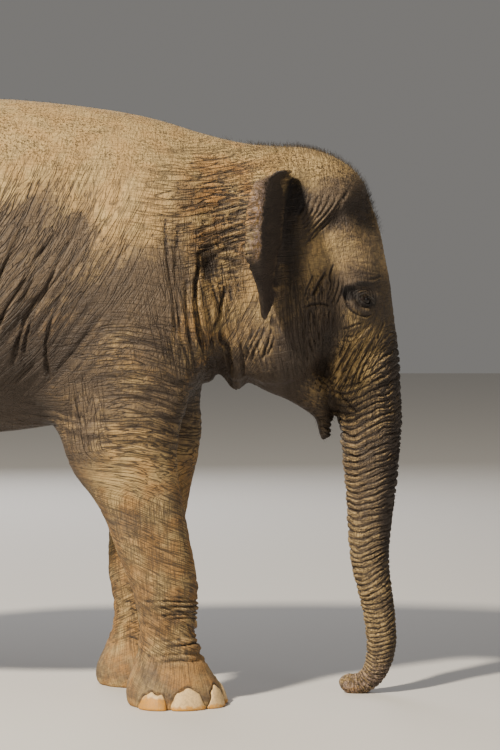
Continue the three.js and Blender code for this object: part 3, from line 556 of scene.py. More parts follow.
TEMPLE_FOLDS = [  # points, width and depth of the temple's slits and of the fold over the trunk's root
    ([(1.351, 1.636), (1.345, 1.623), (1.327, 1.593), (1.309, 1.561), (1.297, 1.535)], 0.0046, 0.011),
    ([(1.382, 1.664), (1.369, 1.630), (1.363, 1.609), (1.369, 1.585), (1.363, 1.557), (1.350, 1.530)],
     0.0038, 0.0085),
    ([(1.400, 1.615), (1.394, 1.561), (1.379, 1.526), (1.364, 1.505)], 0.0036, 0.0055),
    ([(1.384, 1.615), (1.379, 1.577), (1.367, 1.545), (1.352, 1.520)], 0.0034, 0.0050),
    ([(1.308, 1.628), (1.287, 1.585), (1.274, 1.553), (1.268, 1.530)], 0.0040, 0.0042),
    ([(1.329, 1.560), (1.321, 1.530), (1.327, 1.508)], 0.0036, 0.0050),
    ([(1.264, 1.490), (1.299, 1.508), (1.331, 1.510), (1.370, 1.500)], 0.0038, 0.0065),
    ([(1.292, 1.572), (1.282, 1.545), (1.278, 1.516)], 0.0036, 0.0040),
    ([(1.415, 1.600), (1.411, 1.560), (1.398, 1.525), (1.384, 1.500)], 0.0034, 0.0040),
    ([(1.338, 1.604), (1.332, 1.570), (1.338, 1.540)], 0.0034, 0.0040),
    ([(1.470, 1.603), (1.500, 1.598), (1.530, 1.600), (1.565, 1.618)], 0.0050, 0.0034),
]
for number, (run, width, depth) in enumerate(TEMPLE_FOLDS):
    fold(run, width, depth, lip=0.6, seed=20 + number, start=0.8)
MOUTH_CORNER = [(1.385, 1.182), (1.427, 1.140), (1.475, 1.090)]
fold(MOUTH_CORNER, 0.006, 0.012, lip=0.5, seed=30, start=1.0)
CHEEK_FOLDS = [  # points, width and depth of the folds of cheek and lip
    ([(1.290, 1.500), (1.284, 1.440), (1.290, 1.370), (1.305, 1.300)], 0.0048, 0.0065),
    ([(1.308, 1.505), (1.303, 1.440), (1.307, 1.370), (1.318, 1.310)], 0.0045, 0.0060),
    ([(1.326, 1.500), (1.322, 1.440), (1.325, 1.380), (1.333, 1.320)], 0.0045, 0.0060),
    ([(1.344, 1.500), (1.340, 1.450), (1.340, 1.390), (1.345, 1.330)], 0.0045, 0.0060),
    ([(1.364, 1.500), (1.358, 1.450), (1.356, 1.400), (1.358, 1.350)], 0.0045, 0.0060),
    ([(1.384, 1.490), (1.376, 1.440), (1.374, 1.400)], 0.0042, 0.0050),
    ([(1.275, 1.480), (1.266, 1.420), (1.270, 1.350), (1.285, 1.280)], 0.0048, 0.0055),
    ([(1.545, 1.439), (1.521, 1.395), (1.489, 1.339), (1.458, 1.280), (1.426, 1.212), (1.414, 1.177)],
     0.0050, 0.0090),
    ([(1.517, 1.411), (1.481, 1.355), (1.454, 1.308), (1.418, 1.240), (1.394, 1.201)], 0.0048, 0.0085),
    ([(1.497, 1.419), (1.458, 1.375), (1.434, 1.332), (1.410, 1.280), (1.382, 1.236)], 0.0046, 0.0075),
    ([(1.561, 1.427), (1.537, 1.379), (1.509, 1.328), (1.485, 1.276), (1.458, 1.220), (1.442, 1.173)],
     0.0048, 0.0085),
    ([(1.481, 1.371), (1.442, 1.300), (1.410, 1.240), (1.379, 1.212)], 0.0044, 0.0060),
    ([(1.537, 1.332), (1.509, 1.292), (1.489, 1.244), (1.473, 1.193)], 0.0046, 0.0070),
    ([(1.572, 1.450), (1.565, 1.411), (1.545, 1.371)], 0.0044, 0.0060),
    ([(1.410, 1.387), (1.450, 1.387), (1.481, 1.399), (1.505, 1.419), (1.529, 1.442)], 0.0044, 0.0065),
    ([(1.402, 1.371), (1.442, 1.369), (1.477, 1.375), (1.505, 1.387)], 0.0044, 0.0055),
    ([(1.402, 1.411), (1.434, 1.419), (1.470, 1.431), (1.497, 1.439)], 0.0042, 0.0050),
    ([(1.425, 1.395), (1.418, 1.350), (1.402, 1.300)], 0.0044, 0.0055),
]
for number, (run, width, depth) in enumerate(CHEEK_FOLDS):
    fold(run, width, depth, lip=0.6, seed=50 + number, start=0.8)

temple_side = oval((1.31, 1.83), (0.13, 0.15), 50)
crease(temple_side, 0.77 * x - 0.64 * z, 0.64 * x + 0.77 * z, y, 0.014, 0.12, 0.0018, 5)
lip_side = oval((1.445, 1.285), (0.20, 0.085), 57) * fade(0.05, 0.09, aside)
crease(lip_side, 0.89 * x - 0.45 * z, 0.45 * x + 0.89 * z, y, 0.0140, 0.14, 0.0038, 6)
cheek_side = oval((1.315, 1.42), (0.085, 0.13), 8)
crease(cheek_side, x + 0.1 * z, z, y, 0.014, 0.12, 0.0036, 7)
jaw_side = oval((1.20, 1.32), (0.20, 0.12), 25)
crease(jaw_side, 0.95 * x + 0.3 * z, z, y, 0.018, 0.13, 0.0042, 8)
chin = oval((1.31, 1.17), (0.09, 0.08), 60)
crease(chin, z + 0.8 * x, x - z, y, 0.017, 0.06, 0.0026, 9)

# The hide sinks behind the mouth, beside the forehead's two domes and over the temple.
relief -= 0.014 * oval((1.352, 1.330), (0.030, 0.110), -8, soft=0.9)
relief -= 0.026 * oval((1.507, 1.848), (0.046, 0.072), 10, soft=0.8) * fade(0.03, 0.10, aside)
relief -= 0.012 * oval((1.395, 1.822), (0.085, 0.030), 35, soft=0.8)
forehead = fade(1.38, 1.46, x) * fade(1.45, 1.60, z)
crease(forehead * fade(2.0, 1.9, z), z + 0.2 * x, y, x, 0.020, 0.10, 0.0016, 10)


# ---------------------------------------------------------------- skin: neck and throat
# The neck turns and bends here: fine ripples cross it behind the ear, long folds hang from it
# to the throat, and a pocket lies behind the angle of the jaw.
ripple_side = oval((0.94, 1.83), (0.20, 0.22), soft=0.7) * (0.45 + 0.55 * fade(0.82, 1.02, x))
curve = z - 0.18 * (x - 0.93) + 0.010 * wander(base, 0.12, 30)
crease(ripple_side, curve, x, y, 0.0175, 0.12, 0.0070, 31, sharp=0.25)
for number, (run, width, depth, start) in enumerate(GREAT_FOLDS):
    fold(run, width, depth, seed=31 + number, start=start)
relief -= 0.020 * oval((0.917, 1.652), (0.030, 0.045), 20, soft=1.0)
throat = oval((0.90, 1.42), (0.17, 0.20))
crease(throat, x + 0.15 * z, z, y, 0.034, 0.22, 0.0055, 38)
under_neck = oval((1.00, 1.28), (0.20, 0.12))
crease(under_neck, x + 0.9 * aside, z - aside, y, 0.034, 0.14, 0.0045, 39)

# A flap hangs under the throat, with a notch behind it where the neck runs into the breast.
flap = np.exp(-(((x - 1.012) / 0.034) ** 4)) * fade(0.24, 0.14, aside)
flap_end = 0.026 * flap * fade(1.36, 1.22, z) * fade(1.05, 1.12, z)
flap_root = 0.010 * flap * fade(1.42, 1.34, z) * fade(1.20, 1.28, z)
relief += flap_end + flap_root
relief -= 0.034 * np.exp(-(((x - 0.948) / 0.026) ** 2)) * fade(1.33, 1.24, z) * fade(1.10, 1.18, z)
relief -= 0.014 * oval((0.942, 1.310), (0.026, 0.050), soft=0.9)
relief -= 0.026 * oval((0.900, 1.150), (0.055, 0.090), soft=0.9) * fade(0.2, 0.7, outward[:, 0])


# ---------------------------------------------------------------- skin: shoulder and barrel
# Behind the shoulder the hide hangs in long slanting folds that deepen towards the elbow.
# Fine creases run with them over the ribs, and stand upright on the hips and rump.
SWEEP_CENTRE = (-1.07, 2.555)  # the folds of the flank run in arcs round this place of the side view
sweep = np.hypot(x - SWEEP_CENTRE[0], z - SWEEP_CENTRE[1]) + 0.015 * wander(base, 0.35, 60)
sweep_along = 1.7 * np.arctan2(SWEEP_CENTRE[1] - z, x - SWEEP_CENTRE[0])
relief -= 0.014 * oval((0.275, 1.47), (0.05, 0.11), -28, soft=0.8)
ribs = fade(-1.1, 0.1, x) * fade(0.66, 0.40, x) * fade(1.12, 1.32, z) * fade(2.05, 1.80, z)
crease(ribs, sweep, sweep_along, y, 0.046, 0.50, 0.0048, 61)
armpit = oval((0.26, 1.40), (0.26, 0.20))
crease(armpit, sweep, sweep_along, y, 0.036, 0.45, 0.0058, 62)
belly = fade(1.30, 1.10, z) * fade(0.35, 0.20, x) * fade(-1.5, -1.2, x)
crease(belly, z + aside + 0.01 * wander(base, 0.2, 63), x, y, 0.046, 0.30, 0.0050, 64)
rump = fade(-0.75, -1.10, x) * fade(0.85, 1.10, z)
crease(rump, x + 0.35 * y + 0.02 * wander(base, 0.3, 65), z, y, 0.048, 0.24, 0.0050, 66)


# ---------------------------------------------------------------- skin: legs and feet
# Creases lie level round the upper arm, cross in a lattice down the shank and bunch up in
# front of the wrist and behind the hock. Folds of skin frame every toenail.
LEG_AXES = {  # (x, side) of each leg's middle at the ground, at the wrist or hock and above
    "foreleg_right": [(0.79, -0.25), (0.757, -0.257), (0.66, -0.275), (0.58, -0.285)],
    "foreleg_left": [(0.645, 0.25), (0.634, 0.257), (0.66, 0.275), (0.66, 0.285)],
    "hindleg_right": [(-1.17, -0.23), (-1.204, -0.234), (-1.10, -0.255), (-1.09, -0.262)],
    "hindleg_left": [(-0.965, 0.23), (-1.004, 0.234), (-0.955, 0.255), (-0.985, 0.262)],
}
AXIS_HEIGHTS = [0.0, 0.35, 0.78, 1.10]
LEG_RADIUS = 0.14


def round_leg(axis, points):
    """1 on a leg and 0 off it, and the place round the leg as an arc in metres."""
    stops = np.array(axis)
    outer = np.sign(stops[0, 1])
    to_x = points[:, 0] - np.interp(points[:, 2], AXIS_HEIGHTS, stops[:, 0])
    to_y = points[:, 1] - np.interp(points[:, 2], AXIS_HEIGHTS, stops[:, 1])
    is_leg = fade(0.40, 0.30, np.hypot(to_x, to_y)) * fade(1.25, 1.05, points[:, 2])
    is_leg = is_leg * (outer * points[:, 1] > -0.02)
    return is_leg, LEG_RADIUS * np.arctan2(to_x, to_y * outer)


for seed, axis in enumerate(LEG_AXES.values()):
    is_leg, arc = round_leg(axis, base)
    off_seam = fade(0.44, 0.37, np.abs(arc))
    upper = is_leg * fade(0.80, 1.0, z)
    crease(upper, z + 0.2 * arc + 0.01 * wander(base, 0.15, 70), arc, y, 0.042, 0.30, 0.0044, 71 + seed)
    shank = is_leg * fade(0.95, 0.75, z) * fade(0.10, 0.20, z) * off_seam
    crease(shank, z + 0.55 * arc, arc - 0.55 * z, 0 * z, 0.040, 0.14, 0.0024, 75 + seed)
    joint_front = np.maximum(fade(-0.90, 0.35, outward[:, 0]), 0.08)
    joint = is_leg * fade(0.13, 0.2, z) * fade(0.50, 0.38, z) * joint_front
    bunched = z + 0.3 * arc**2 + 0.005 * wander(base, 0.08, 83)
    crease(joint, bunched, arc, 0 * z, 0.025, 0.35, 0.0120, 84 + seed, sharp=0.25)
    heel = is_leg * fade(0.6, 0.35, z) * fade(0.1, 0.2, z) * fade(-0.2, -0.75, outward[:, 0])
    crease(heel, z, arc, 0 * z, 0.034, 0.16, 0.004, 88 + seed)

# A thick lip of hide frames each toenail, with a narrow groove between the two.
NAILS = sorted(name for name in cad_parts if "_nail_" in name)
NAIL_LIP = (0.0038, 0.012, 0.0060)  # height, distance from the nail and spread
NAIL_GROOVE = (0.0020, 0.0040)
nail_form = melted_copy(NAILS)
nail_tree = BVHTree.FromBMesh(nail_form)
nail_form.free()
for n in np.nonzero(z < 0.14)[0]:
    gap = nail_tree.find_nearest(Vector(base[n]), 0.04)[3]
    if gap is not None:
        lip = NAIL_LIP[0] * math.exp(-(((gap - NAIL_LIP[1]) / NAIL_LIP[2]) ** 2))
        relief[n] += lip - NAIL_GROOVE[0] * math.exp(-((gap / NAIL_GROOVE[1]) ** 2))

# Bowed creases lie over the elbow and the upper arm.
arm_side = oval((0.66, 1.16), (0.22, 0.24))
bowed = z + 0.9 * (x - 0.60) ** 2 + 0.006 * wander(base, 0.12, 96)
crease(arm_side, bowed, x, y, 0.034, 0.30, 0.0046, 97)


# ---------------------------------------------------------------- skin: ears
# An ear is two layers of hide over a thin plate of gristle, wrinkled across. Its upper rim is
# rolled over and knobbly, and grows out of the head in one piece with the rest of the skin.
ear_part = (aside > 0.32) & (x > 1.03) & (x < 1.27) & (z > 1.38)
ear_levels = np.arange(1.38, 2.08, 0.01)
ear_rows = [ear_part & (np.abs(z - level) < 0.012) for level in ear_levels]
ear_reach = np.array([aside[row].max(initial=0) for row in ear_rows])
from_rim = np.interp(z, ear_levels, ear_reach) - aside
rolled = ear_part * np.exp(-(((from_rim - 0.014) / 0.016) ** 2))
rolled = rolled * fade(1.66, 1.69, z) * fade(2.03, 1.97, z)
relief += 0.011 * rolled + 0.003 * rolled * swells(base / 0.012, 112)
ear_side = fade(0.30, 0.34, aside) * fade(1.05, 1.10, x) * fade(1.36, 1.42, z)
crease(ear_side, z + 0.4 * aside, aside, x, 0.060, 0.15, 0.0020, 110)


# ---------------------------------------------------------------- skin: eyelids
# Thick lids hug each eyeball and part in a slanting oval. Arched folds lie over the upper lid,
# a soft pad hangs under the lower one, and the hide dips into a hollow behind the eye.
EYE_RADIUS = 0.0240
LID_THICKNESS = 0.0050
EYE_SINK = 0.006
OPENING = (0.0245, 0.0158)
OPENING_TILT = math.radians(-24)
ARCH_START = 0.027
ARCH_SPACING = 0.0095
ARCH_HEIGHT = 0.0042
PAD_RINGS = [  # height or depth of the pad below the eye, its distance from the eye and its spread
    (0.009, 0.047, 0.012), (-0.005, 0.0300, 0.0030), (-0.006, 0.0640, 0.0038), (0.004, 0.0740, 0.0060),
]
lid_mark = np.zeros(len(base))


def lid_places(points, side):
    """Each point seen from an eye: forward, up, outward, and rings round the opening and the pad."""
    middle, axes = eye_frame(side)
    u, v, w = ((points - middle + EYE_SINK * axes[2]) @ axes.T).T
    long_way = u * math.cos(OPENING_TILT) + v * math.sin(OPENING_TILT)
    short_way = v * math.cos(OPENING_TILT) - u * math.sin(OPENING_TILT)
    opening = np.hypot(long_way / OPENING[0], short_way / OPENING[1])
    pad = np.hypot(np.where(u < 0, u / 1.35, u), v)
    return u, v, w, opening, pad


for side in ("right", "left"):
    u, v, w, opening, pad = lid_places(base, side)
    near_eye = (np.abs(w) < 0.09) & (np.hypot(u, v) < 0.14)
    turn = np.degrees(np.arctan2(v, u))
    above = fade(-20, 15, turn) * fade(175, 140, turn) * near_eye
    below = (fade(-85, -105, turn) + fade(150, 170, turn)) * near_eye
    below = np.clip(below + fade(-50, -80, turn) * near_eye * (turn < 0), 0, 1)
    arches = np.abs(np.sin(math.pi * ((pad - ARCH_START) / ARCH_SPACING))) ** 0.6 - 0.6
    relief += above * fade(0.026, 0.030, pad) * fade(0.062, 0.050, pad) * ARCH_HEIGHT * arches
    relief += 0.007 * above * np.exp(-(((pad - 0.066) / 0.014) ** 2))
    for height, distance, spread in PAD_RINGS:
        relief += height * below * np.exp(-(((pad - distance) / spread) ** 2))
    hollow_behind = np.hypot((u + 0.066) / 0.030, (v - 0.024) / 0.025)
    inner_corner = np.hypot((u - 0.044) / 0.020, (v + 0.004) / 0.036)
    over_lid = np.hypot((u + 0.004) / 0.052, (v - 0.058) / 0.013)
    relief -= 0.015 * near_eye * fade(1.5, 0.4, hollow_behind)
    upper_lid_share = 1 - 0.6 * above * fade(1.3, 1.9, opening)
    # This mark paints the dark round the eye: the lids' own dark margins, and painted shade in the hollow
    # behind the eye, at its front corner and under the brow.
    lid_marks = [
        fade(2.5, 1.3, opening) * upper_lid_share,
        fade(1.7, 0.8, hollow_behind),
        0.80 * fade(1.4, 0.5, inner_corner),
        0.70 * fade(1.4, 0.5, over_lid),
    ]
    lid_mark = np.maximum(lid_mark, near_eye * np.maximum.reduce(lid_marks))

# Each lid is then drawn out to hug its eyeball, and the hide between the lids sinks behind it.
final = base + outward * relief[:, None]
for side in ("right", "left"):
    middle, axes = eye_frame(side)
    u, v, w, opening, pad = lid_places(final, side)
    across = np.hypot(u, v)
    near_eye = (np.abs(w) < 0.07) & (across < 0.06)
    dome = np.sqrt(np.maximum((EYE_RADIUS + LID_THICKNESS) ** 2 - across**2, 0))
    hugging = 0.5 * (w + dome + np.sqrt((w - dome) ** 2 + 0.006**2))
    hugging = np.where(across < EYE_RADIUS + LID_THICKNESS + 0.004, hugging, w)
    behind = np.sqrt(np.maximum(EYE_RADIUS**2 - across**2, 0)) - 0.013
    parted = fade(1.10, 0.90, opening)
    lift = (hugging * (1 - parted) + behind * parted - w) * near_eye
    final += lift[:, None] * axes[2]
final[:, 2] = np.maximum(final[:, 2], 0)
final[base[:, 2] < 0.002, 2] = 0
put(flesh.data, final)
black_layer = flesh.data.attributes.new("black", "FLOAT", "POINT")
black_layer.data.foreach_set("value", lid_mark.astype(np.float32))

# Where the hide is plain its mesh is thinned, so that the whole skin stays one light piece: first
# the barrel and rump, then all behind the face, and last the whole.
SKIN_TRIANGLES = 197000
BARREL_END_X = 0.30
BARREL_SHARE = 0.20
BEHIND_FACE_X = 1.22
BODY_SHARE = 0.57


def triangle_count(piece):
    piece.data.calc_loop_triangles()
    return len(piece.data.loop_triangles)


def thin_out(piece, plain, count):
    """Thins a mesh at the points where `plain` is true until `count` triangles are left."""
    group = piece.vertex_groups.new(name="plain")
    for level in np.unique(plain):
        group.add(np.nonzero(plain == level)[0].tolist(), float(level), "REPLACE")
    change = piece.modifiers.new("thin", "DECIMATE")
    change.ratio = count / triangle_count(piece)
    change.vertex_group = group.name
    change.vertex_group_factor = 100
    change.use_collapse_triangulate = True
    apply_modifiers(piece)
    piece.vertex_groups.clear()


plain = x < BARREL_END_X
thin_out(flesh, plain, int(triangle_count(flesh) * (1 - plain.mean()) + BARREL_SHARE * SKIN_TRIANGLES))
plain = places(flesh.data)[:, 0] < BEHIND_FACE_X
face_triangles = int((~plain).mean() * triangle_count(flesh))
thin_out(flesh, plain, face_triangles + int(BODY_SHARE * SKIN_TRIANGLES))
thin_out(flesh, np.ones(len(flesh.data.vertices), bool), SKIN_TRIANGLES)
flesh.data.shade_smooth()

skin = flesh
skin.name = "skin"
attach(skin, "root")
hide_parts(*FLESH, *THIN_FLESH)


# ---------------------------------------------------------------- skin: markings
# Grey-brown hide under dried dust: the dust lies thick on back, brow and cheeks, is rubbed off the folds,
# and the rims of the ears and the trunk's tip have lost their pigment. Light and shade are painted into
# these marks as well: lighter tops, lip side and throat, and darker hollows, undersides and fronts turned
# from the light.
skin_points = places(skin.data)
skin_ways = normals_of(skin.data)
x, y, z = skin_points.T  # from here on ovals and masks are worked out at the finished skin's points
aside = np.abs(y)
upward = skin_ways[:, 2]
facing_front = fade(0.25, 0.85, skin_ways[:, 0])
lids = np.empty(len(skin_points), np.float32)
skin.data.attributes["black"].data.foreach_get("value", lids)

# A point is in a hollow where the mean of its neighbours stands out from it. The hollows are painted darker
# below, as painted shade.
skin_relaxer = Relaxer(skin.data)
cupped = ((skin_relaxer.ease(skin_points, 2) - skin_points) * skin_ways).sum(1)
cupped_wide = ((skin_relaxer.ease(skin_points, 8) - skin_points) * skin_ways).sum(1)
skin_edges = edges_of(skin.data)
edge_ends = skin_points[skin_edges]
edge_sizes = np.linalg.norm(edge_ends[:, 0] - edge_ends[:, 1], axis=1)
edge_totals = np.bincount(skin_edges.ravel(), np.repeat(edge_sizes, 2), len(skin_points))
grain_here = edge_totals / skin_relaxer.links
hollow = 0.6 * fade(0.02, 0.22, cupped / grain_here) + 0.6 * fade(0.05, 0.50, cupped_wide / grain_here)

off_trunk = fade(1.30, 1.20, x)
on_trunk = fade(1.34, 1.40, x) * fade(1.45, 1.25, z)
on_ear = fade(0.315, 0.34, aside) * fade(1.05, 1.10, x) * fade(1.29, 1.26, x) * fade(1.38, 1.42, z)
face_front = fade(1.42, 1.47, x)
beside_brow = 0.25 + 0.75 * fade(0.01, 0.07, aside)
ear_root = fade(0.33, 0.29, aside)
ear_top = fade(0.36, 0.31, aside)
ear_rim = on_ear * fade(0.050, 0.034, np.interp(z, ear_levels, ear_reach) - aside) * fade(1.65, 1.69, z)
ear_rim *= 0.40 + 0.60 * fade(1.97, 1.86, z)
sole = fade(0.034, 0.014, z)


def patches_of(ovals):
    """Adds up ovals of the side view, each with its strength, middle, half sizes, tilt and softness."""
    return sum(strength * oval(middle, halves, tilt, soft) for strength, middle, halves, tilt, soft in ovals)


# Patches of dust. Some are painted light: the lip side at (1.465, 1.310) and (1.46, 1.31) and the throat at
# (0.90, 1.42) are lightened where sun falls, and the lower flank at (0.30, 1.45) is darkened as painted
# shade.
DUST_AND_LIGHT_PATCHES = [
    (0.36, (0.66, 1.83), (0.19, 0.28), 15, 1.0), (-0.22, (0.30, 1.45), (0.42, 0.24), 35, 0.5),
    (-0.16, (0.48, 1.86), (0.30, 0.05), 62, 0.5), (-0.14, (0.68, 1.50), (0.16, 0.16), 0, 0.5),
    (-0.20, (1.44, 1.45), (0.16, 0.20), 0, 0.5), (-0.10, (1.45, 1.25), (0.15, 0.15), 0, 0.5),
    (0.26, (1.43, 1.70), (0.11, 0.085), 0, 0.5), (0.20, (1.08, 1.42), (0.09, 0.20), 0, 0.5),
    (0.20, (0.62, 0.95), (0.14, 0.22), 0, 0.5), (0.55, (1.465, 1.310), (0.095, 0.130), -28, 0.7),
    (0.45, (1.450, 1.468), (0.055, 0.024), -25, 0.5), (-0.34, (1.38, 1.92), (0.14, 0.10), 20, 0.7),
    (0.30, (0.90, 1.42), (0.12, 0.16), 0, 0.5), (0.15, (0.64, 1.35), (0.18, 0.13), 0, 0.5),
    (0.60, (1.46, 1.31), (0.10, 0.13), 0, 0.5), (-0.30, (1.45, 1.70), (0.12, 0.11), 0, 0.5),
    (-0.12, (1.36, 1.85), (0.10, 0.10), 0, 0.5), (0.14, (1.24, 2.03), (0.22, 0.10), 0, 0.5),
    (0.12, (0.90, 1.42), (0.10, 0.15), 0, 0.5),
]
SMUDGES = [  # the darker patches on shoulder, flank and forefoot
    (-0.35, (0.600, 2.010), (0.030, 0.060), 15, 0.9), (-0.30, (0.830, 1.930), (0.045, 0.060), 0, 0.9),
    (-0.40, (0.220, 1.800), (0.140, 0.055), 48, 0.9), (-0.16, (0.450, 1.800), (0.130, 0.060), 62, 0.9),
    (-0.25, (0.650, 1.590), (0.110, 0.100), 0, 0.9), (-0.30, (0.700, 1.380), (0.050, 0.090), 0, 0.9),
    (-0.30, (0.140, 1.620), (0.100, 0.120), 30, 0.9), (-0.25, (0.360, 1.660), (0.130, 0.035), 60, 0.9),
    (-0.25, (0.800, 1.660), (0.050, 0.110), 0, 0.9), (-0.20, (0.600, 0.700), (0.060, 0.050), 0, 0.9),
    (-0.40, (0.687, 0.125), (0.035, 0.040), 0, 0.9), (-0.35, (0.764, 0.065), (0.030, 0.035), 0, 0.9),
    (-0.25, (0.780, 0.185), (0.060, 0.022), 20, 0.9),
]
# On the trunk: more dust low down, and less on its front, which is painted shade on the side turned from the
# light.
trunk_dust_and_shade = 0.10 * fade(0.9, 0.3, z) + 0.22 * fade(0.75, 0.45, z) - 0.45 * facing_front * fade(0.3, 0.8, z)
# Dust lies thick high on the back and on all that faces up: partly real dust, partly painted light from
# above.
dust_and_painted_light = 0.36 + 0.34 * fade(1.75, 2.15, z) + 0.34 * upward
dust_and_painted_light += patches_of(DUST_AND_LIGHT_PATCHES) + patches_of(SMUDGES)
dust_and_painted_light += (0.34 * fade(1.00, 0.75, z) - 0.20 * fade(0.30, 0.12, z)) * off_trunk
# Less dust on the trunk's front, on the fronts of the ears and in the hollows is painted shade.
dust_and_painted_light += on_trunk * (trunk_dust_and_shade - 0.10) - 0.6 * on_ear - 0.12 * fade(0.22, 0.10, z)
dust_and_painted_light = np.clip(dust_and_painted_light - 0.68 * hollow + 0.60 * sole, 0, 1) + 0.6 * ear_rim

# Painted shade darkens the hide: in hollows, on the underside, on the fronts of face, trunk and ears turned
# from the light, in the forehead's hollow, behind the jaw, in the ear's cast shadow on the cheek and on the
# lower flank; the lip side is lightened as painted light.
DARK_PATCHES = [
    (0.60, (1.395, 1.822), (0.09, 0.035), 35, 0.5), (0.55, (0.945, 1.290), (0.035, 0.050), 0, 0.8),
    (0.42, (0.30, 1.36), (0.36, 0.13), 40, 0.5), (0.80, (0.912, 1.650), (0.040, 0.055), 0, 0.8),
    (0.50, (1.23, 1.42), (0.06, 0.22), 0, 0.5), (0.85, (1.352, 1.320), (0.040, 0.120), -8, 0.5),
    (0.90, (1.360, 1.060), (0.045, 0.080), 0, 0.4), (-0.35, (1.46, 1.31), (0.10, 0.13), 0, 0.5),
]
dark = patches_of(DARK_PATCHES)
# Painted shade in the forehead's hollow, on the underside, behind the ear's root and on the fronts turned
# from the light.
dark += 0.8 * beside_brow * oval((1.500, 1.845), (0.064, 0.090), 10, soft=0.8)
dark += 0.65 * fade(0.15, -0.55, upward) * fade(0.75, 1.0, z)
dark += 0.9 * ear_root * oval((1.235, 1.75), (0.050, 0.27), -6, soft=0.35)
dark += 0.45 * on_trunk * facing_front * fade(0.3, 0.9, z)
dark += 0.55 * face_front * fade(0.10, 0.5, skin_ways[:, 0]) * fade(1.68, 1.60, z) * fade(1.38, 1.46, z)
dark += 0.6 * face_front * facing_front * fade(1.64, 1.55, z) + 1.1 * on_ear
dark = np.clip(dark + 0.9 * hollow + 0.95 * lids, 0, 1) * (1 - 0.6 * ear_rim)

# Nearly black: the lids' own damp dark margins, and painted deep shade round the eyes, in the deepest
# hollows, in the forehead's hollow, behind the ears and on their shaded fronts.
black_masks = [
    lids,
    0.85 * ear_top * oval((1.232, 1.905), (0.050, 0.085), soft=0.4),
    0.70 * ear_root * oval((1.225, 1.70), (0.035, 0.20), soft=0.5),
    0.65 * fade(0.36, 0.33, aside) * oval((1.214, 1.800), (0.034, 0.210), soft=0.4),
    0.42 * beside_brow * oval((1.500, 1.848), (0.070, 0.085), 10, soft=0.85),
    0.62 * oval((1.352, 1.330), (0.030, 0.110), -8, soft=0.6),
    0.60 * oval((0.912, 1.645), (0.032, 0.045), soft=0.8),
    (0.38 + 0.12 * swells(skin_points / 0.06, 122)) * on_ear * (1 - ear_rim),
]
black = np.maximum.reduce(black_masks)
skin.data.attributes["black"].data.foreach_set("value", black.astype(np.float32))

# Pigment is lost on the rims of the ears, low on their fronts and at the trunk's end.
trunk_end = fade(0.16, 0.05, z) * fade(1.38, 1.42, x)
ear_low = on_ear * facing_front * fade(1.75, 1.50, z)
pink = np.clip(ear_rim + 0.5 * trunk_end + 0.22 * ear_low, 0, 1)

OCHRE_PATCHES = [
    (0.8, (0.97, 1.87), (0.14, 0.20), 0, 0.5), (0.4, (0.80, 1.35), (0.16, 0.14), 0, 0.5),
    (0.7, (0.415, 0.965), (0.05, 0.07), 0, 0.5), (-0.30, (1.47, 1.30), (0.12, 0.20), 0, 0.5),
    (0.5, (0.20, 1.40), (0.25, 0.10), 0, 0.5),
]
ochre = 0.34 + patches_of(OCHRE_PATCHES) + 0.7 * fade(0.14, 0.03, z) - 0.15 * fade(1.15, 1.25, x)
ochre += 0.80 * sole + 0.45 * fade(1.00, 0.80, z) * off_trunk - 0.34 * on_trunk * fade(0.9, 0.5, z)
ochre = np.clip(ochre, 0, 1)

# How strongly the fine creases show, for those that lie level, stand upright and slant.
shank = fade(0.98, 0.78, z)
face = fade(1.14, 1.22, x)
in_foot = fade(0.22, 0.16, z) * off_trunk
elbow = oval((0.455, 1.06), (0.075, 0.20))
throat_side = oval((0.88, 1.45), (0.22, 0.28)) * (1 - 0.5 * oval((1.03, 1.42), (0.10, 0.16)))
flank = fade(0.85, 0.6, x) * fade(1.10, 1.35, z) * fade(2.12, 1.85, z)
flank = flank * (1 - 0.85 * oval((0.64, 1.30), (0.26, 0.24)))
level = 0.22 + 0.9 * oval((0.95, 1.83), (0.22, 0.24), soft=0.8) + 0.9 * oval((0.62, 1.20), (0.28, 0.26))
level = (level + 0.7 * fade(1.2, 1.0, z)) * (1 - 0.75 * elbow) * (1 - 0.75 * in_foot)
upright = 0.18 + 0.12 * face + 0.6 * throat_side + 0.8 * oval((1.30, 1.42), (0.13, 0.16))
upright = (upright + 0.6 * fade(-0.8, -1.1, x) + 0.75 * elbow) * (1 - 4 * shank * (1 - shank))
upright += 0.42 * fade(0.10, 0.22, z) * fade(0.75, 1.0, shank) + 0.20 * in_foot
slanting = 0.14 + 0.9 * flank + 0.7 * oval((1.46, 1.30), (0.12, 0.20))
slanting = slanting + 0.55 * oval((1.03, 1.41), (0.09, 0.17))
slanting = slanting * (1 - 0.5 * oval((0.66, 1.86), (0.20, 0.24), soft=0.9)) * (1 - 4 * face * (1 - face))
specks = 0.8 * fade(1.88, 2.10, z) + 0.5 * fade(1.75, 1.95, z) * oval((1.25, 2.0), (0.25, 0.2))

# Where the creases run: a place across and a place along them, for each point of the skin.
leg_arc = np.zeros(len(skin_points))
for axis in LEG_AXES.values():
    is_leg, arc = round_leg(axis, skin_points)
    leg_arc = np.where(is_leg > 0, arc, leg_arc)
meander = 0.012 * swells(skin_points / 0.30, 120) + 0.0035 * swells(skin_points / 0.07, 121)
below_elbow = -0.05 * np.log1p(np.exp(np.clip((0.88 - z) / 0.05, -30, 30)))
bowed = 0.9 * (x - 0.60) ** 2 * oval((0.62, 1.22), (0.34, 0.34))
level_across = z - 0.18 * (x - 0.93) * fade(0.6, 0.9, x) + bowed
level_across += 0.55 * below_elbow + 0.55 * leg_arc * shank + meander * (1 - 0.5 * shank)
level_along = x * (1 - shank) + 0.6 * leg_arc * shank
upright_across = (x + 0.12 * z + 0.4 * y * fade(-0.9, -1.3, x)) * (1 - shank)
upright_across += (0.25 * z - 1.35 * leg_arc) * shank + 0.6 * meander
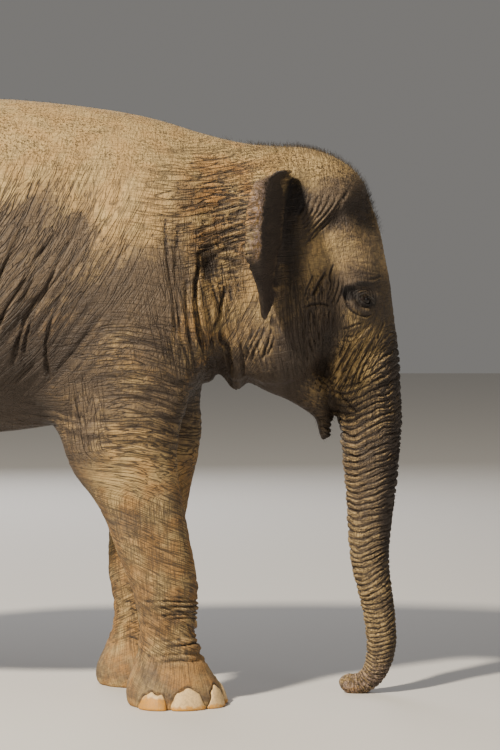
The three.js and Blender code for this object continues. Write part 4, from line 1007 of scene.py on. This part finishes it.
upright_along = z - 0.5 * below_elbow
from_centre = np.hypot(x - SWEEP_CENTRE[0], z - SWEEP_CENTRE[1])
round_centre = 1.7 * np.arctan2(SWEEP_CENTRE[1] - z, x - SWEEP_CENTRE[0])
sweep_across = from_centre * (1 - face) + (0.89 * x - 0.45 * z) * face + meander
sweep_along = round_centre * (1 - face) + (0.45 * x + 0.89 * z) * face
beyond = y * (1 - shank)

# On the trunk the fine creases run with the rings and lengthwise, and the grooves are bare of dust and
# darkened as painted shade.
front = np.nonzero(x > 1.30)[0]
down, ahead, half = along_trunk(skin_points[front])
ring_start, ring, between_rings = trunk_rings(skin_points[front], down, ahead, half)
to_trunk = fade(1.34, 1.42, x[front]) * fade(1.36, 1.18, z[front])
turned = np.abs(np.arctan2(y[front], ahead)) * 0.10
level_across[front] += to_trunk * (1.526 - ring_start + meander[front] - level_across[front])
level_along[front] += to_trunk * (turned - level_along[front])
upright_across[front] += to_trunk * (turned + 0.5 * meander[front] - upright_across[front])
upright_along[front] += to_trunk * (-down - upright_along[front])
upright[front] *= (1 - to_trunk) * (1 - 4 * to_trunk * (1 - to_trunk))
upright[front] += 0.55 * fade(0.8, 1.0, to_trunk)
beyond[front] *= 1 - to_trunk
halfway = (0.3 + 0.5 * fade(-0.1, 0.6, ahead / half)) * (1 - np.abs(np.sin(between_rings)) ** 0.45)
groove = np.maximum(1 - np.abs(np.sin(math.pi * ring)) ** 0.45, halfway)
dark[front] = np.clip(dark[front] + 0.75 * groove * to_trunk, 0, 1)
dust_and_painted_light[front] = np.clip(dust_and_painted_light[front] + (0.24 - 0.70 * groove) * to_trunk, 0, 1)


def mark(piece, name, values):
    """Keeps up to four masks on the points of a piece for its material to read."""
    layer = piece.data.attributes.new(name, "FLOAT_COLOR", "POINT")
    layer.data.foreach_set("color", np.stack(values, 1).astype(np.float32).ravel())


def mark_way(piece, name, way):
    """Keeps a place across, along and through the creases on each point, for the creases to follow."""
    layer = piece.data.attributes.new(name, "FLOAT_VECTOR", "POINT")
    layer.data.foreach_set("vector", np.stack(way, 1).astype(np.float32).ravel())


smooth_ear = 1 - 0.6 * on_ear
mark_way(skin, "level_way", [level_across, level_along, beyond])
mark_way(skin, "upright_way", [upright_across, upright_along, beyond])
mark_way(skin, "slanting_way", [sweep_across, sweep_along, beyond])
mark(skin, "marks", [dust_and_painted_light, dark, pink, ochre])
mark(skin, "creases", [np.clip(share * smooth_ear, 0, 1) for share in (level, upright, slanting, specks)])


# ---------------------------------------------------------------- skin: material
# Thick grey-brown hide, dull with dust. Creases too fine for the mesh run level, upright or slanting by
# region, over a crackle of small plates, and are painted darker than the dusty plates: bare hide with
# painted shade in them.
# The darkest hide colour is also the colour of painted shade, and the near-black one that of the damp lids
# and of painted deep shade.
DARK_HIDE_AND_SHADE = (0.038, 0.027, 0.020)
HIDE_GREY = (0.122, 0.086, 0.054)
DUST_TAN = (0.490, 0.342, 0.148)
DUST_OCHRE = (0.430, 0.220, 0.070)
BARE_PINK = (0.560, 0.400, 0.330)
DAMP_AND_SHADE_BLACK = (0.013, 0.010, 0.009)
FINE_CREASES = (0.0125, 0.090, 0.07)  # across, along and through
BROAD_CREASES = (0.0240, 0.300, 0.25)
PLATE_SIZE = 0.013
PLATE_BEND = 0.018


def node(tree, kind, **settings):
    made = tree.nodes.new(kind)
    for key, value in settings.items():
        setattr(made, key, value)
    return made


def feed(tree, socket, value):
    """Links a socket to another one, or sets it to a number or a colour."""
    if isinstance(value, bpy.types.NodeSocket):
        tree.links.new(value, socket)
    else:
        socket.default_value = value


def math_node(tree, operation, *values):
    made = node(tree, "ShaderNodeMath", operation=operation)
    for socket, value in zip(made.inputs, values):
        feed(tree, socket, value)
    return made.outputs[0]


def times(tree, first, second):
    return math_node(tree, "MULTIPLY", first, second)


def eased(tree, value, low, high, start=0.0, end=1.0):
    """A smooth step from start to end as the value goes from low to high."""
    made = node(tree, "ShaderNodeMapRange", interpolation_type="SMOOTHSTEP")
    settings = {"Value": value, "From Min": low, "From Max": high, "To Min": start, "To Max": end}
    for name, setting in settings.items():
        feed(tree, made.inputs[name], setting)
    return made.outputs["Result"]


def blend_colours(tree, share, first, second):
    made = node(tree, "ShaderNodeMix", data_type="RGBA")
    feed(tree, made.inputs["Factor"], share)
    for socket, colour in ((made.inputs[6], first), (made.inputs[7], second)):
        feed(tree, socket, (*colour, 1) if isinstance(colour, tuple) else colour)
    return made.outputs[2]


def noise_at(tree, where, size, detail=2.0, roughness=0.5):
    made = node(tree, "ShaderNodeTexNoise")
    made.inputs["Scale"].default_value = 1 / size
    made.inputs["Detail"].default_value = detail
    made.inputs["Roughness"].default_value = roughness
    tree.links.new(where, made.inputs["Vector"])
    return made.outputs[0]


def kept(tree, lines, mask):
    """Lines where the mask is 1, smooth plates where it is 0."""
    lost = math_node(tree, "SUBTRACT", 1.0, lines)
    return math_node(tree, "SUBTRACT", 1.0, times(tree, lost, mask))


# Hide and horn share an effect: long thin creases between plates, one for each size across.
crease_group = bpy.data.node_groups.new("long_creases", "ShaderNodeTree")
crease_group.interface.new_socket("Place", in_out="INPUT", socket_type="NodeSocketVector")
crease_group.interface.new_socket("Sizes", in_out="INPUT", socket_type="NodeSocketVector")
crease_group.interface.new_socket("Crease Width", in_out="INPUT", socket_type="NodeSocketFloat")
crease_group.interface.new_socket("Plates", in_out="OUTPUT", socket_type="NodeSocketFloat")
group_in = node(crease_group, "NodeGroupInput")
group_out = node(crease_group, "NodeGroupOutput")
lay = node(crease_group, "ShaderNodeMapping", vector_type="TEXTURE")
crease_group.links.new(group_in.outputs["Place"], lay.inputs["Vector"])
crease_group.links.new(group_in.outputs["Sizes"], lay.inputs["Scale"])
waves = noise_at(crease_group, lay.outputs[0], 1.0, 1.5, 0.45)
distance = math_node(crease_group, "ABSOLUTE", math_node(crease_group, "SUBTRACT", waves, 0.5))
plates = eased(crease_group, distance, 0.0, group_in.outputs["Crease Width"])
crease_group.links.new(plates, group_out.inputs["Plates"])


def long_creases(tree, place, sizes, crease_width):
    """1 on the plates and 0 in the creases."""
    made = node(tree, "ShaderNodeGroup", node_tree=crease_group)
    for name, value in (("Place", place), ("Sizes", sizes), ("Crease Width", crease_width)):
        feed(tree, made.inputs[name], value)
    return made.outputs["Plates"]


hide = bpy.data.materials.new("elephant_hide")
hide.use_nodes = True
tree = hide.node_tree
hide_shader = tree.nodes["Principled BSDF"]
spot = node(tree, "ShaderNodeTexCoord").outputs["Object"]
marks = node(tree, "ShaderNodeAttribute", attribute_name="marks")
mark_parts = node(tree, "ShaderNodeSeparateColor")
tree.links.new(marks.outputs["Color"], mark_parts.inputs[0])
dust_and_light_mark, dark_mark, pink_mark = mark_parts.outputs
ochre_mark = marks.outputs["Alpha"]
lie = node(tree, "ShaderNodeAttribute", attribute_name="creases")
lie_parts = node(tree, "ShaderNodeSeparateColor")
tree.links.new(lie.outputs["Color"], lie_parts.inputs[0])

# The creases follow the places kept on the skin, and the broad ones fade away down the legs.
heights = node(tree, "ShaderNodeSeparateXYZ")
tree.links.new(spot, heights.inputs[0])
above_shank = eased(tree, heights.outputs[2], 0.80, 1.00, 0.20, 1.0)
fine_kept = 1.0
broad_kept = 1.0
for name, mask in zip(("level_way", "upright_way", "slanting_way"), lie_parts.outputs):
    way = node(tree, "ShaderNodeAttribute", attribute_name=name).outputs["Vector"]
    fine_lines = kept(tree, long_creases(tree, way, FINE_CREASES, 0.060), mask)
    broad_lines = kept(tree, long_creases(tree, way, BROAD_CREASES, 0.040), times(tree, mask, above_shank))
    fine_kept = times(tree, fine_lines, fine_kept)
    broad_kept = times(tree, broad_lines, broad_kept)

# Small plates, bent out of line by a slow drift, with dark specks sunk into small pits on the back.
drift = node(tree, "ShaderNodeTexNoise")
drift.inputs["Scale"].default_value = 9.0
tree.links.new(spot, drift.inputs["Vector"])
bend = node(tree, "ShaderNodeVectorMath", operation="MULTIPLY_ADD")
bend.inputs[1].default_value = (PLATE_BEND, PLATE_BEND, PLATE_BEND)
tree.links.new(drift.outputs["Color"], bend.inputs[0])
tree.links.new(spot, bend.inputs[2])
crackle = node(tree, "ShaderNodeTexVoronoi", feature="DISTANCE_TO_EDGE")
crackle.inputs["Scale"].default_value = 1 / PLATE_SIZE
tree.links.new(bend.outputs[0], crackle.inputs["Vector"])
plates_kept = kept(tree, eased(tree, crackle.outputs["Distance"], 0.0, 0.22), 0.32)
grit = eased(tree, noise_at(tree, spot, 0.0085, 3.0, 0.70), 0.52, 0.63)
grit_patches = eased(tree, noise_at(tree, spot, 0.11, 3.0), 0.32, 0.62, 0.35, 1.0)
specks = times(tree, times(tree, grit, lie.outputs["Alpha"]), grit_patches)
grain = noise_at(tree, spot, 0.006, 3.0, 0.6)

height = times(tree, fine_kept, 0.0030)
for layer, rise in ((plates_kept, 0.0010), (broad_kept, 0.0048), (grain, 0.0014), (specks, -0.0040)):
    height = math_node(tree, "ADD", height, times(tree, layer, rise))
relief_bump = node(tree, "ShaderNodeBump")
relief_bump.inputs["Strength"].default_value = 1.0
relief_bump.inputs["Distance"].default_value = 1.0
tree.links.new(height, relief_bump.inputs["Height"])
tree.links.new(relief_bump.outputs["Normal"], hide_shader.inputs["Normal"])

# Dust, with painted light in it, covers the hide in patches and turns to ochre in places; it is rubbed off
# the creases, and the hide under it carries painted shade.
dust_and_light_level = dust_and_light_mark
for size, detail, roughness, strength in ((0.30, 4.0, 0.55, 1.3), (0.018, 3.0, 0.6, 0.7)):
    patches = math_node(tree, "SUBTRACT", noise_at(tree, spot, size, detail, roughness), 0.5)
    dust_and_light_level = math_node(tree, "ADD", dust_and_light_level, times(tree, patches, strength))
lines_all = times(tree, times(tree, fine_kept, broad_kept), plates_kept)
on_plates = eased(tree, lines_all, 0.0, 1.0, 0.45, 1.0)
dust_and_light_cover = times(tree, eased(tree, dust_and_light_level, 0.15, 0.85), on_plates)
ochre_patches = eased(tree, noise_at(tree, spot, 0.09, 3.0), 0.35, 0.62)
freckles = eased(tree, noise_at(tree, spot, 0.013, 3.0, 0.7), 0.47, 0.54)
black_mark = node(tree, "ShaderNodeAttribute", attribute_name="black").outputs["Fac"]
bare_hide_and_shade = blend_colours(tree, eased(tree, dark_mark, 0.0, 1.0), HIDE_GREY, DARK_HIDE_AND_SHADE)
dust_tint = blend_colours(tree, times(tree, ochre_mark, ochre_patches), DUST_TAN, DUST_OCHRE)
# Over the dust go pink where pigment is lost, then dark from the dark marks (painted shade), the crease
# lines (painted shade and bare hide) and the specks, and last the near-black marks (damp lids and painted
# deep shade).
COLOUR_LAYERS = [  # each layer's share and colour, from the dust outwards
    (dust_and_light_cover, dust_tint),
    (times(tree, pink_mark, freckles), BARE_PINK),
    (times(tree, dark_mark, 0.75), DARK_HIDE_AND_SHADE),
    (eased(tree, fine_kept, 1.0, 0.0, 0.0, 0.68), DARK_HIDE_AND_SHADE),
    (eased(tree, broad_kept, 1.0, 0.0, 0.0, 0.72), DARK_HIDE_AND_SHADE),
    (times(tree, specks, 0.80), DARK_HIDE_AND_SHADE),
    (eased(tree, black_mark, 0.25, 0.95, 0.0, 0.95), DAMP_AND_SHADE_BLACK),
]
surface = bare_hide_and_shade
for share, colour in COLOUR_LAYERS:
    surface = blend_colours(tree, share, surface, colour)
tree.links.new(surface, hide_shader.inputs["Base Color"])
tree.links.new(eased(tree, dust_and_light_cover, 0.0, 1.0, 0.62, 0.92), hide_shader.inputs["Roughness"])
hide_shader.inputs["Specular IOR Level"].default_value = 0.35
skin.data.materials.clear()
skin.data.materials.append(hide)


# ---------------------------------------------------------------- toenails
# Blunt plates of horn, five on each forefoot and four on each hind one: pale ivory, ridged
# lengthwise and stained ochre at the edge. Each is a rounded, finer copy of its solid.
HORN_IVORY = (0.76, 0.52, 0.24)
HORN_OCHRE = (0.60, 0.28, 0.04)
HORN_DIRT = (0.30, 0.21, 0.12)
HORN_RIDGES = (0.006, 0.006, 0.03)
NAIL_PROUD = 0.004
OUTERMOST_END_X = 0.76  # the right forefoot's rearmost nail ends before this place
OUTERMOST_STAIN = 0.8

horn = bpy.data.materials.new("toenail_horn")
horn.use_nodes = True
tree = horn.node_tree
horn_shader = tree.nodes["Principled BSDF"]
spot = node(tree, "ShaderNodeTexCoord").outputs["Object"]
height_above = node(tree, "ShaderNodeSeparateXYZ")
tree.links.new(spot, height_above.inputs[0])
stain_mark = node(tree, "ShaderNodeAttribute", attribute_name="stain").outputs["Fac"]
ragged = math_node(tree, "ADD", height_above.outputs[2], times(tree, noise_at(tree, spot, 0.02, 3.0), 0.05))
stain_edge = math_node(tree, "SUBTRACT", ragged, times(tree, stain_mark, 0.045))
stained = blend_colours(tree, eased(tree, stain_edge, 0.030, 0.044), HORN_OCHRE, HORN_IVORY)
dirt = eased(tree, noise_at(tree, spot, 0.011, 4.0, 0.65), 0.42, 0.62)
dirtied = blend_colours(tree, times(tree, dirt, 0.35), stained, HORN_DIRT)
tree.links.new(dirtied, horn_shader.inputs["Base Color"])
horn_shader.inputs["Roughness"].default_value = 0.55
horn_bump = node(tree, "ShaderNodeBump")
horn_bump.inputs["Distance"].default_value = 0.0004
tree.links.new(long_creases(tree, spot, HORN_RIDGES, 0.15), horn_bump.inputs["Height"])
tree.links.new(horn_bump.outputs["Normal"], horn_shader.inputs["Normal"])

stain_pick = np.random.default_rng(31)
for name in NAILS:
    outermost = name.startswith("forefoot_right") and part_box(name)[1].x < OUTERMOST_END_X
    stain_here = OUTERMOST_STAIN if outermost else stain_pick.uniform(0.0, 0.35)
    nail = as_object(melted_copy([name]), f"{name}_horn")
    rounder = nail.modifiers.new("round", "SUBSURF")
    rounder.levels = rounder.render_levels = 2
    apply_modifiers(nail)
    proud = places(nail.data) + NAIL_PROUD * normals_of(nail.data)
    proud[:, 2] = np.maximum(proud[:, 2], 0)
    put(nail.data, proud)
    nail.data.shade_smooth()
    stain_layer = nail.data.attributes.new("stain", "FLOAT", "POINT")
    stain_layer.data.foreach_set("value", np.full(len(nail.data.vertices), stain_here, np.float32))
    nail.data.materials.clear()
    nail.data.materials.append(horn)
    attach(nail, "root")
    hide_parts(name)


# ---------------------------------------------------------------- eyes
# A glossy ball a little under 5 cm across, with a dark amber iris that fills most of the gap
# between the lids. Each point of the ball knows how far it is turned from the pupil.
AMBER_DARK = (0.004, 0.003, 0.002)
AMBER_LIGHT = (0.012, 0.007, 0.004)
IRIS_EDGE = (0.012, 0.007, 0.005)
EYE_WHITE = (0.030, 0.020, 0.016)
PUPIL = (0.002, 0.002, 0.002)
PUPIL_EDGE = (0.24, 0.20)  # angles from the gaze, in radians
IRIS_END = (0.50, 0.66)
WHITE_START = (0.68, 1.05)

eye_gloss = bpy.data.materials.new("eye")
eye_gloss.use_nodes = True
tree = eye_gloss.node_tree
eye_shader = tree.nodes["Principled BSDF"]
from_pupil = node(tree, "ShaderNodeAttribute", attribute_name="from_pupil").outputs["Fac"]
spot = node(tree, "ShaderNodeTexCoord").outputs["Object"]
streaks = noise_at(tree, spot, 0.0025, 3.0, 0.6)
ball_colour = blend_colours(tree, streaks, AMBER_DARK, AMBER_LIGHT)
for (low, high), colour in ((IRIS_END, IRIS_EDGE), (WHITE_START, EYE_WHITE), (PUPIL_EDGE, PUPIL)):
    ball_colour = blend_colours(tree, eased(tree, from_pupil, low, high), ball_colour, colour)
tree.links.new(ball_colour, eye_shader.inputs["Base Color"])
eye_shader.inputs["Roughness"].default_value = 0.12
eye_shader.inputs["Coat Weight"].default_value = 0.5
eye_shader.inputs["Specular IOR Level"].default_value = 0.1
eye_shader.inputs["Coat Roughness"].default_value = 0.03

for side in ("right", "left"):
    middle, axes = eye_frame(side)
    ball = bmesh.new()
    bmesh.ops.create_uvsphere(ball, u_segments=48, v_segments=32, radius=EYE_RADIUS)
    gaze = Vector(axes[2])
    turn = Vector((0, 0, 1)).rotation_difference(gaze).to_matrix()
    bmesh.ops.rotate(ball, verts=ball.verts, cent=(0, 0, 0), matrix=turn)
    angles = [corner.co.angle(gaze) for corner in ball.verts]
    bmesh.ops.translate(ball, verts=ball.verts, vec=Vector(middle - EYE_SINK * axes[2]))
    eye = as_object(ball, f"eyeball_{side}")
    layer = eye.data.attributes.new("from_pupil", "FLOAT", "POINT")
    layer.data.foreach_set("value", angles)
    eye.data.shade_smooth()
    eye.data.materials.append(eye_gloss)
    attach(eye, "root")
    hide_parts(f"eye_{side}")


# ---------------------------------------------------------------- coat
# Sparse wiry bristles stand on the crown and lean back along the neck and back. They hang from
# the chin and run down the trunk. The upper lids bear lashes, and the tail ends in a tuft.
UNWRAP_START = -1.70  # the skin's unwrap runs from tail to trunk, and round a level line in the body
UNWRAP_LENGTH = 3.50
UNWRAP_MIDDLE = 1.20
TUFT_UNWRAP_HEIGHT = 0.45
PATCH = 0.003
HAIR_SIDES = 3
HAIR_FLOOR = 0.001  # the lowest a hair reaches
BRISTLE_BLACK = (0.020, 0.015, 0.012)

bristle = bpy.data.materials.new("bristle")
bristle.use_nodes = True
tree = bristle.node_tree
bristle_shader = tree.nodes["Principled BSDF"]
root_marks = node(tree, "ShaderNodeAttribute", attribute_name="marks")
root_parts = node(tree, "ShaderNodeSeparateColor")
tree.links.new(root_marks.outputs["Color"], root_parts.inputs[0])
to_tip = node(tree, "ShaderNodeAttribute", attribute_name="tip").outputs["Fac"]
# The roots take the skin's dust mark, painted light and shade included.
dust_and_light_at_root = times(tree, root_parts.outputs[0], eased(tree, to_tip, 0.0, 0.6, 0.45, 0.0))
hair_colour = blend_colours(tree, dust_and_light_at_root, BRISTLE_BLACK, DUST_TAN)
tree.links.new(hair_colour, bristle_shader.inputs["Base Color"])
bristle_shader.inputs["Roughness"].default_value = 0.45

skin.data.calc_loop_triangles()
skin_corners = np.empty(len(skin.data.loop_triangles) * 3, np.int32)
skin.data.loop_triangles.foreach_get("vertices", skin_corners)
skin_corners = skin_corners.reshape(-1, 3)
skin_areas = np.empty(len(skin_corners), np.float32)
skin.data.loop_triangles.foreach_get("area", skin_areas)
hair_pick = np.random.default_rng(41)
skin_marks = np.stack([dust_and_painted_light, dark, pink, ochre], 1)


def unit(ways):
    return ways / np.maximum(np.linalg.norm(ways, axis=-1, keepdims=True), 1e-9)


def roots_on(mask, count):
    """Random places on the skin, likelier where the mask is high, each with its way out and a near point."""
    weights = skin_areas * np.maximum(mask, 0)[skin_corners].mean(1)
    chosen = hair_pick.choice(len(skin_corners), count, p=weights / weights.sum())
    share = hair_pick.dirichlet((1, 1, 1), count)[:, :, None]
    spots = (skin_points[skin_corners[chosen]] * share).sum(1)
    ways = (skin_ways[skin_corners[chosen]] * share).sum(1)
    return spots, unit(ways), skin_corners[chosen, 0]


def hair_piece(name, spots, starts, bends, lengths, widths, unwrap, near, steps):
    """Joins thin bent cones into one piece. Each sets off along its start and bends towards its bend."""
    count = len(spots)
    ticks = np.linspace(0, 1, steps + 1)
    reach = lengths[:, None, None]
    forward = ticks[:, None] * starts[:, None] + ticks[:, None] ** 2 * bends[:, None]
    spine = spots[:, None] + reach * forward
    aside_way = unit(np.cross(starts, hair_pick.normal(size=(count, 3))))
    other_way = np.cross(starts, aside_way)
    taper = widths[:, None] * (1 - ticks[:-1]) ** 0.6
    corners = []
    for turn in np.arange(HAIR_SIDES) * 2 * math.pi / HAIR_SIDES:
        way = aside_way * math.cos(turn) + other_way * math.sin(turn)
        corners.append(spine[:, :-1] + taper[:, :, None] * way[:, None])
    body = np.stack(corners, 2).reshape(count, steps * HAIR_SIDES, 3)
    points = np.concatenate([body, spine[:, -1:]], 1)
    points[:, :, 2] = np.maximum(points[:, :, 2], HAIR_FLOOR)

    # One hair's faces are a ladder of rungs up each side to the tip, repeated for every hair.
    faces = []
    patch = []
    for rung in range(steps):
        for side in range(HAIR_SIDES):
            near_side = [rung * HAIR_SIDES + side, rung * HAIR_SIDES + (side + 1) % HAIR_SIDES]
            far_side = [corner + HAIR_SIDES for corner in reversed(near_side)]
            patch += [(side, rung), (side + 1, rung)]
            if rung < steps - 1:
                faces.append(near_side + far_side)
                patch += [(side + 1, rung + 1), (side, rung + 1)]
            else:
                faces.append(near_side + [steps * HAIR_SIDES])
                patch.append((side + 0.5, rung + 1))
    each = steps * HAIR_SIDES + 1
    all_faces = [[corner + n * each for corner in face] for n in range(count) for face in faces]
    mesh = bpy.data.meshes.new(name)
    mesh.from_pydata(points.reshape(-1, 3).tolist(), [], all_faces)
    offsets = (np.array(patch) / (HAIR_SIDES, steps) - 0.5) * PATCH
    map_places = unwrap[:, None] + offsets[None]
    mesh.uv_layers.new(name="OFBake").data.foreach_set("uv", map_places.astype(np.float32).ravel())
    piece = bpy.data.objects.new(name, mesh)
    bpy.context.collection.objects.link(piece)
    tip = np.concatenate([np.repeat(ticks[:-1], HAIR_SIDES), [1.0]])
    layer = mesh.attributes.new("tip", "FLOAT", "POINT")
    layer.data.foreach_set("value", np.tile(tip, count).astype(np.float32))
    mark(piece, "marks", list(np.repeat(skin_marks[near], each, 0).T))
    mesh.shade_smooth()
    mesh.materials.append(bristle)
    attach(piece, "root")
    return piece


CROWN_LIE = (-0.25, 0, 0.75)
BACK_LIE = (-0.9, 0, -0.1)
crown = fade(1.00, 1.12, x) * fade(1.74, 1.88, z) * fade(0.28, 0.16, aside) * (1 - on_ear)
back = fade(1.10, 0.98, x) * fade(1.55, 2.00, z) * fade(-1.55, -1.30, x)
sides = 0.4 * fade(0.6, 0.9, z) * (1 - on_ear) * (1 - on_trunk) * fade(1.35, 1.20, x)
trunk_front = on_trunk * fade(-0.4, 0.5, skin_ways[:, 0]) * fade(0.10, 0.20, z)
chin_end = fade(1.24, 1.10, z) * fade(1.22, 1.28, x) * fade(1.41, 1.38, x) * fade(0.90, 0.96, z)
BRISTLES = [  # mask, count, shortest, longest, width, lie, how far they lean
    (crown, 3400, 0.014, 0.032, 0.00060, CROWN_LIE, 0.55),
    (back, 2600, 0.008, 0.018, 0.00050, BACK_LIE, 0.9),
    (sides, 1200, 0.006, 0.014, 0.00040, (-0.6, 0, -0.8), 0.9),
    (trunk_front, 700, 0.007, 0.014, 0.00040, (0, 0, -1.0), 0.8),
    (chin_end, 150, 0.010, 0.024, 0.00045, (0.3, 0, -1.0), 0.9),
]
ROOT_SINK = 0.002
grown = []
for mask, count, shortest, longest, width, lie, lean in BRISTLES:
    spots, ways, near = roots_on(mask, count)
    lie = np.array(lie) - ways * (ways @ np.array(lie))[:, None]  # flat along the skin
    starts = unit(ways + lean * lie + 0.22 * hair_pick.normal(size=(count, 3)))
    bends = 0.30 * lie + 0.12 * hair_pick.normal(size=(count, 3))
    lengths = shortest + (longest - shortest) * hair_pick.beta(1.6, 2.0, count)
    widths = width * hair_pick.uniform(0.8, 1.2, count)
    grown.append((spots - ROOT_SINK * ways, starts, bends, lengths, widths, near))
spots, starts, bends, lengths, widths, near = (np.concatenate(part) for part in zip(*grown))
around = 0.5 + np.arctan2(spots[:, 1], spots[:, 2] - UNWRAP_MIDDLE) / (2 * math.pi)
unwrap = np.clip(np.stack([(spots[:, 0] - UNWRAP_START) / UNWRAP_LENGTH, around], 1), PATCH, 1 - PATCH)
hair_piece("bristles", spots, starts, bends, lengths, widths, unwrap, near, 3)

# The tuft grows from the front and rear edges of the tail's last lengths and hangs in one brush.
TUFT_HAIRS = 420
on_tuft = fade(-1.45, -1.52, x) * fade(tuft_high.z + 0.10, tuft_high.z - 0.02, z)
spots, ways, near = roots_on(on_tuft * (0.25 + np.abs(skin_ways[:, 0])), TUFT_HAIRS)
starts = unit(0.10 * ways + (0, 0, -1.0) + 0.045 * hair_pick.normal(size=(TUFT_HAIRS, 3)))
bends = 0.06 * hair_pick.normal(size=(TUFT_HAIRS, 3)) - 0.05 * ways * (1, 1, 0)
above_end = spots[:, 2] - tuft_low.z
lengths = np.clip(above_end * hair_pick.uniform(0.55, 1.15, TUFT_HAIRS), 0.05, 0.28)
widths = np.full(TUFT_HAIRS, 0.0011)
around = 0.5 + np.arctan2(ways[:, 1], ways[:, 0]) / (2 * math.pi)
unwrap = np.clip(np.stack([around, above_end / TUFT_UNWRAP_HEIGHT], 1), PATCH, 1 - PATCH)
tuft = hair_piece("tail_tuft", spots - 0.001 * ways, starts, bends, lengths, widths, unwrap, near, 6)
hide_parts("tail_brush")

# Two rows of lashes stand out from each upper lid and droop over the eye.
LASHES = 64
LASH_WIDTH = 0.00045
rows = []
for number, side in enumerate(("right", "left")):
    middle, (forward, up, out) = eye_frame(side)
    angle = np.linspace(math.radians(12), math.radians(168), LASHES)
    stretch = 1.10 + 0.14 * (np.arange(LASHES) % 2)
    long_way = OPENING[0] * stretch * np.cos(angle)
    short_way = OPENING[1] * stretch * np.sin(angle)
    u = long_way * math.cos(OPENING_TILT) - short_way * math.sin(OPENING_TILT)
    v = long_way * math.sin(OPENING_TILT) + short_way * math.cos(OPENING_TILT)
    w = np.sqrt((EYE_RADIUS + LID_THICKNESS) ** 2 - u**2 - v**2) - 0.0015
    spots = middle - EYE_SINK * out + np.stack([u, v, w], 1) @ np.array([forward, up, out])
    lean = forward * np.cos(angle)[:, None] * 0.35 - 0.35 * up
    starts = unit(out + lean + 0.08 * hair_pick.normal(size=(LASHES, 3)))
    bends = -0.50 * up + 0.08 * hair_pick.normal(size=(LASHES, 3))
    lengths = hair_pick.uniform(0.022, 0.042, LASHES) * (0.6 + 0.4 * np.sin(angle))
    near = np.array([((skin_points - spot) ** 2).sum(1).argmin() for spot in spots])
    unwrap = np.stack([0.1 + 0.8 * angle / math.pi, 0.25 + 0.5 * number + 0.1 * stretch], 1)
    rows.append((spots, starts, bends, lengths, np.full(LASHES, LASH_WIDTH), unwrap, near))
hair_piece("eyelashes", *(np.concatenate(part) for part in zip(*rows)), 4)
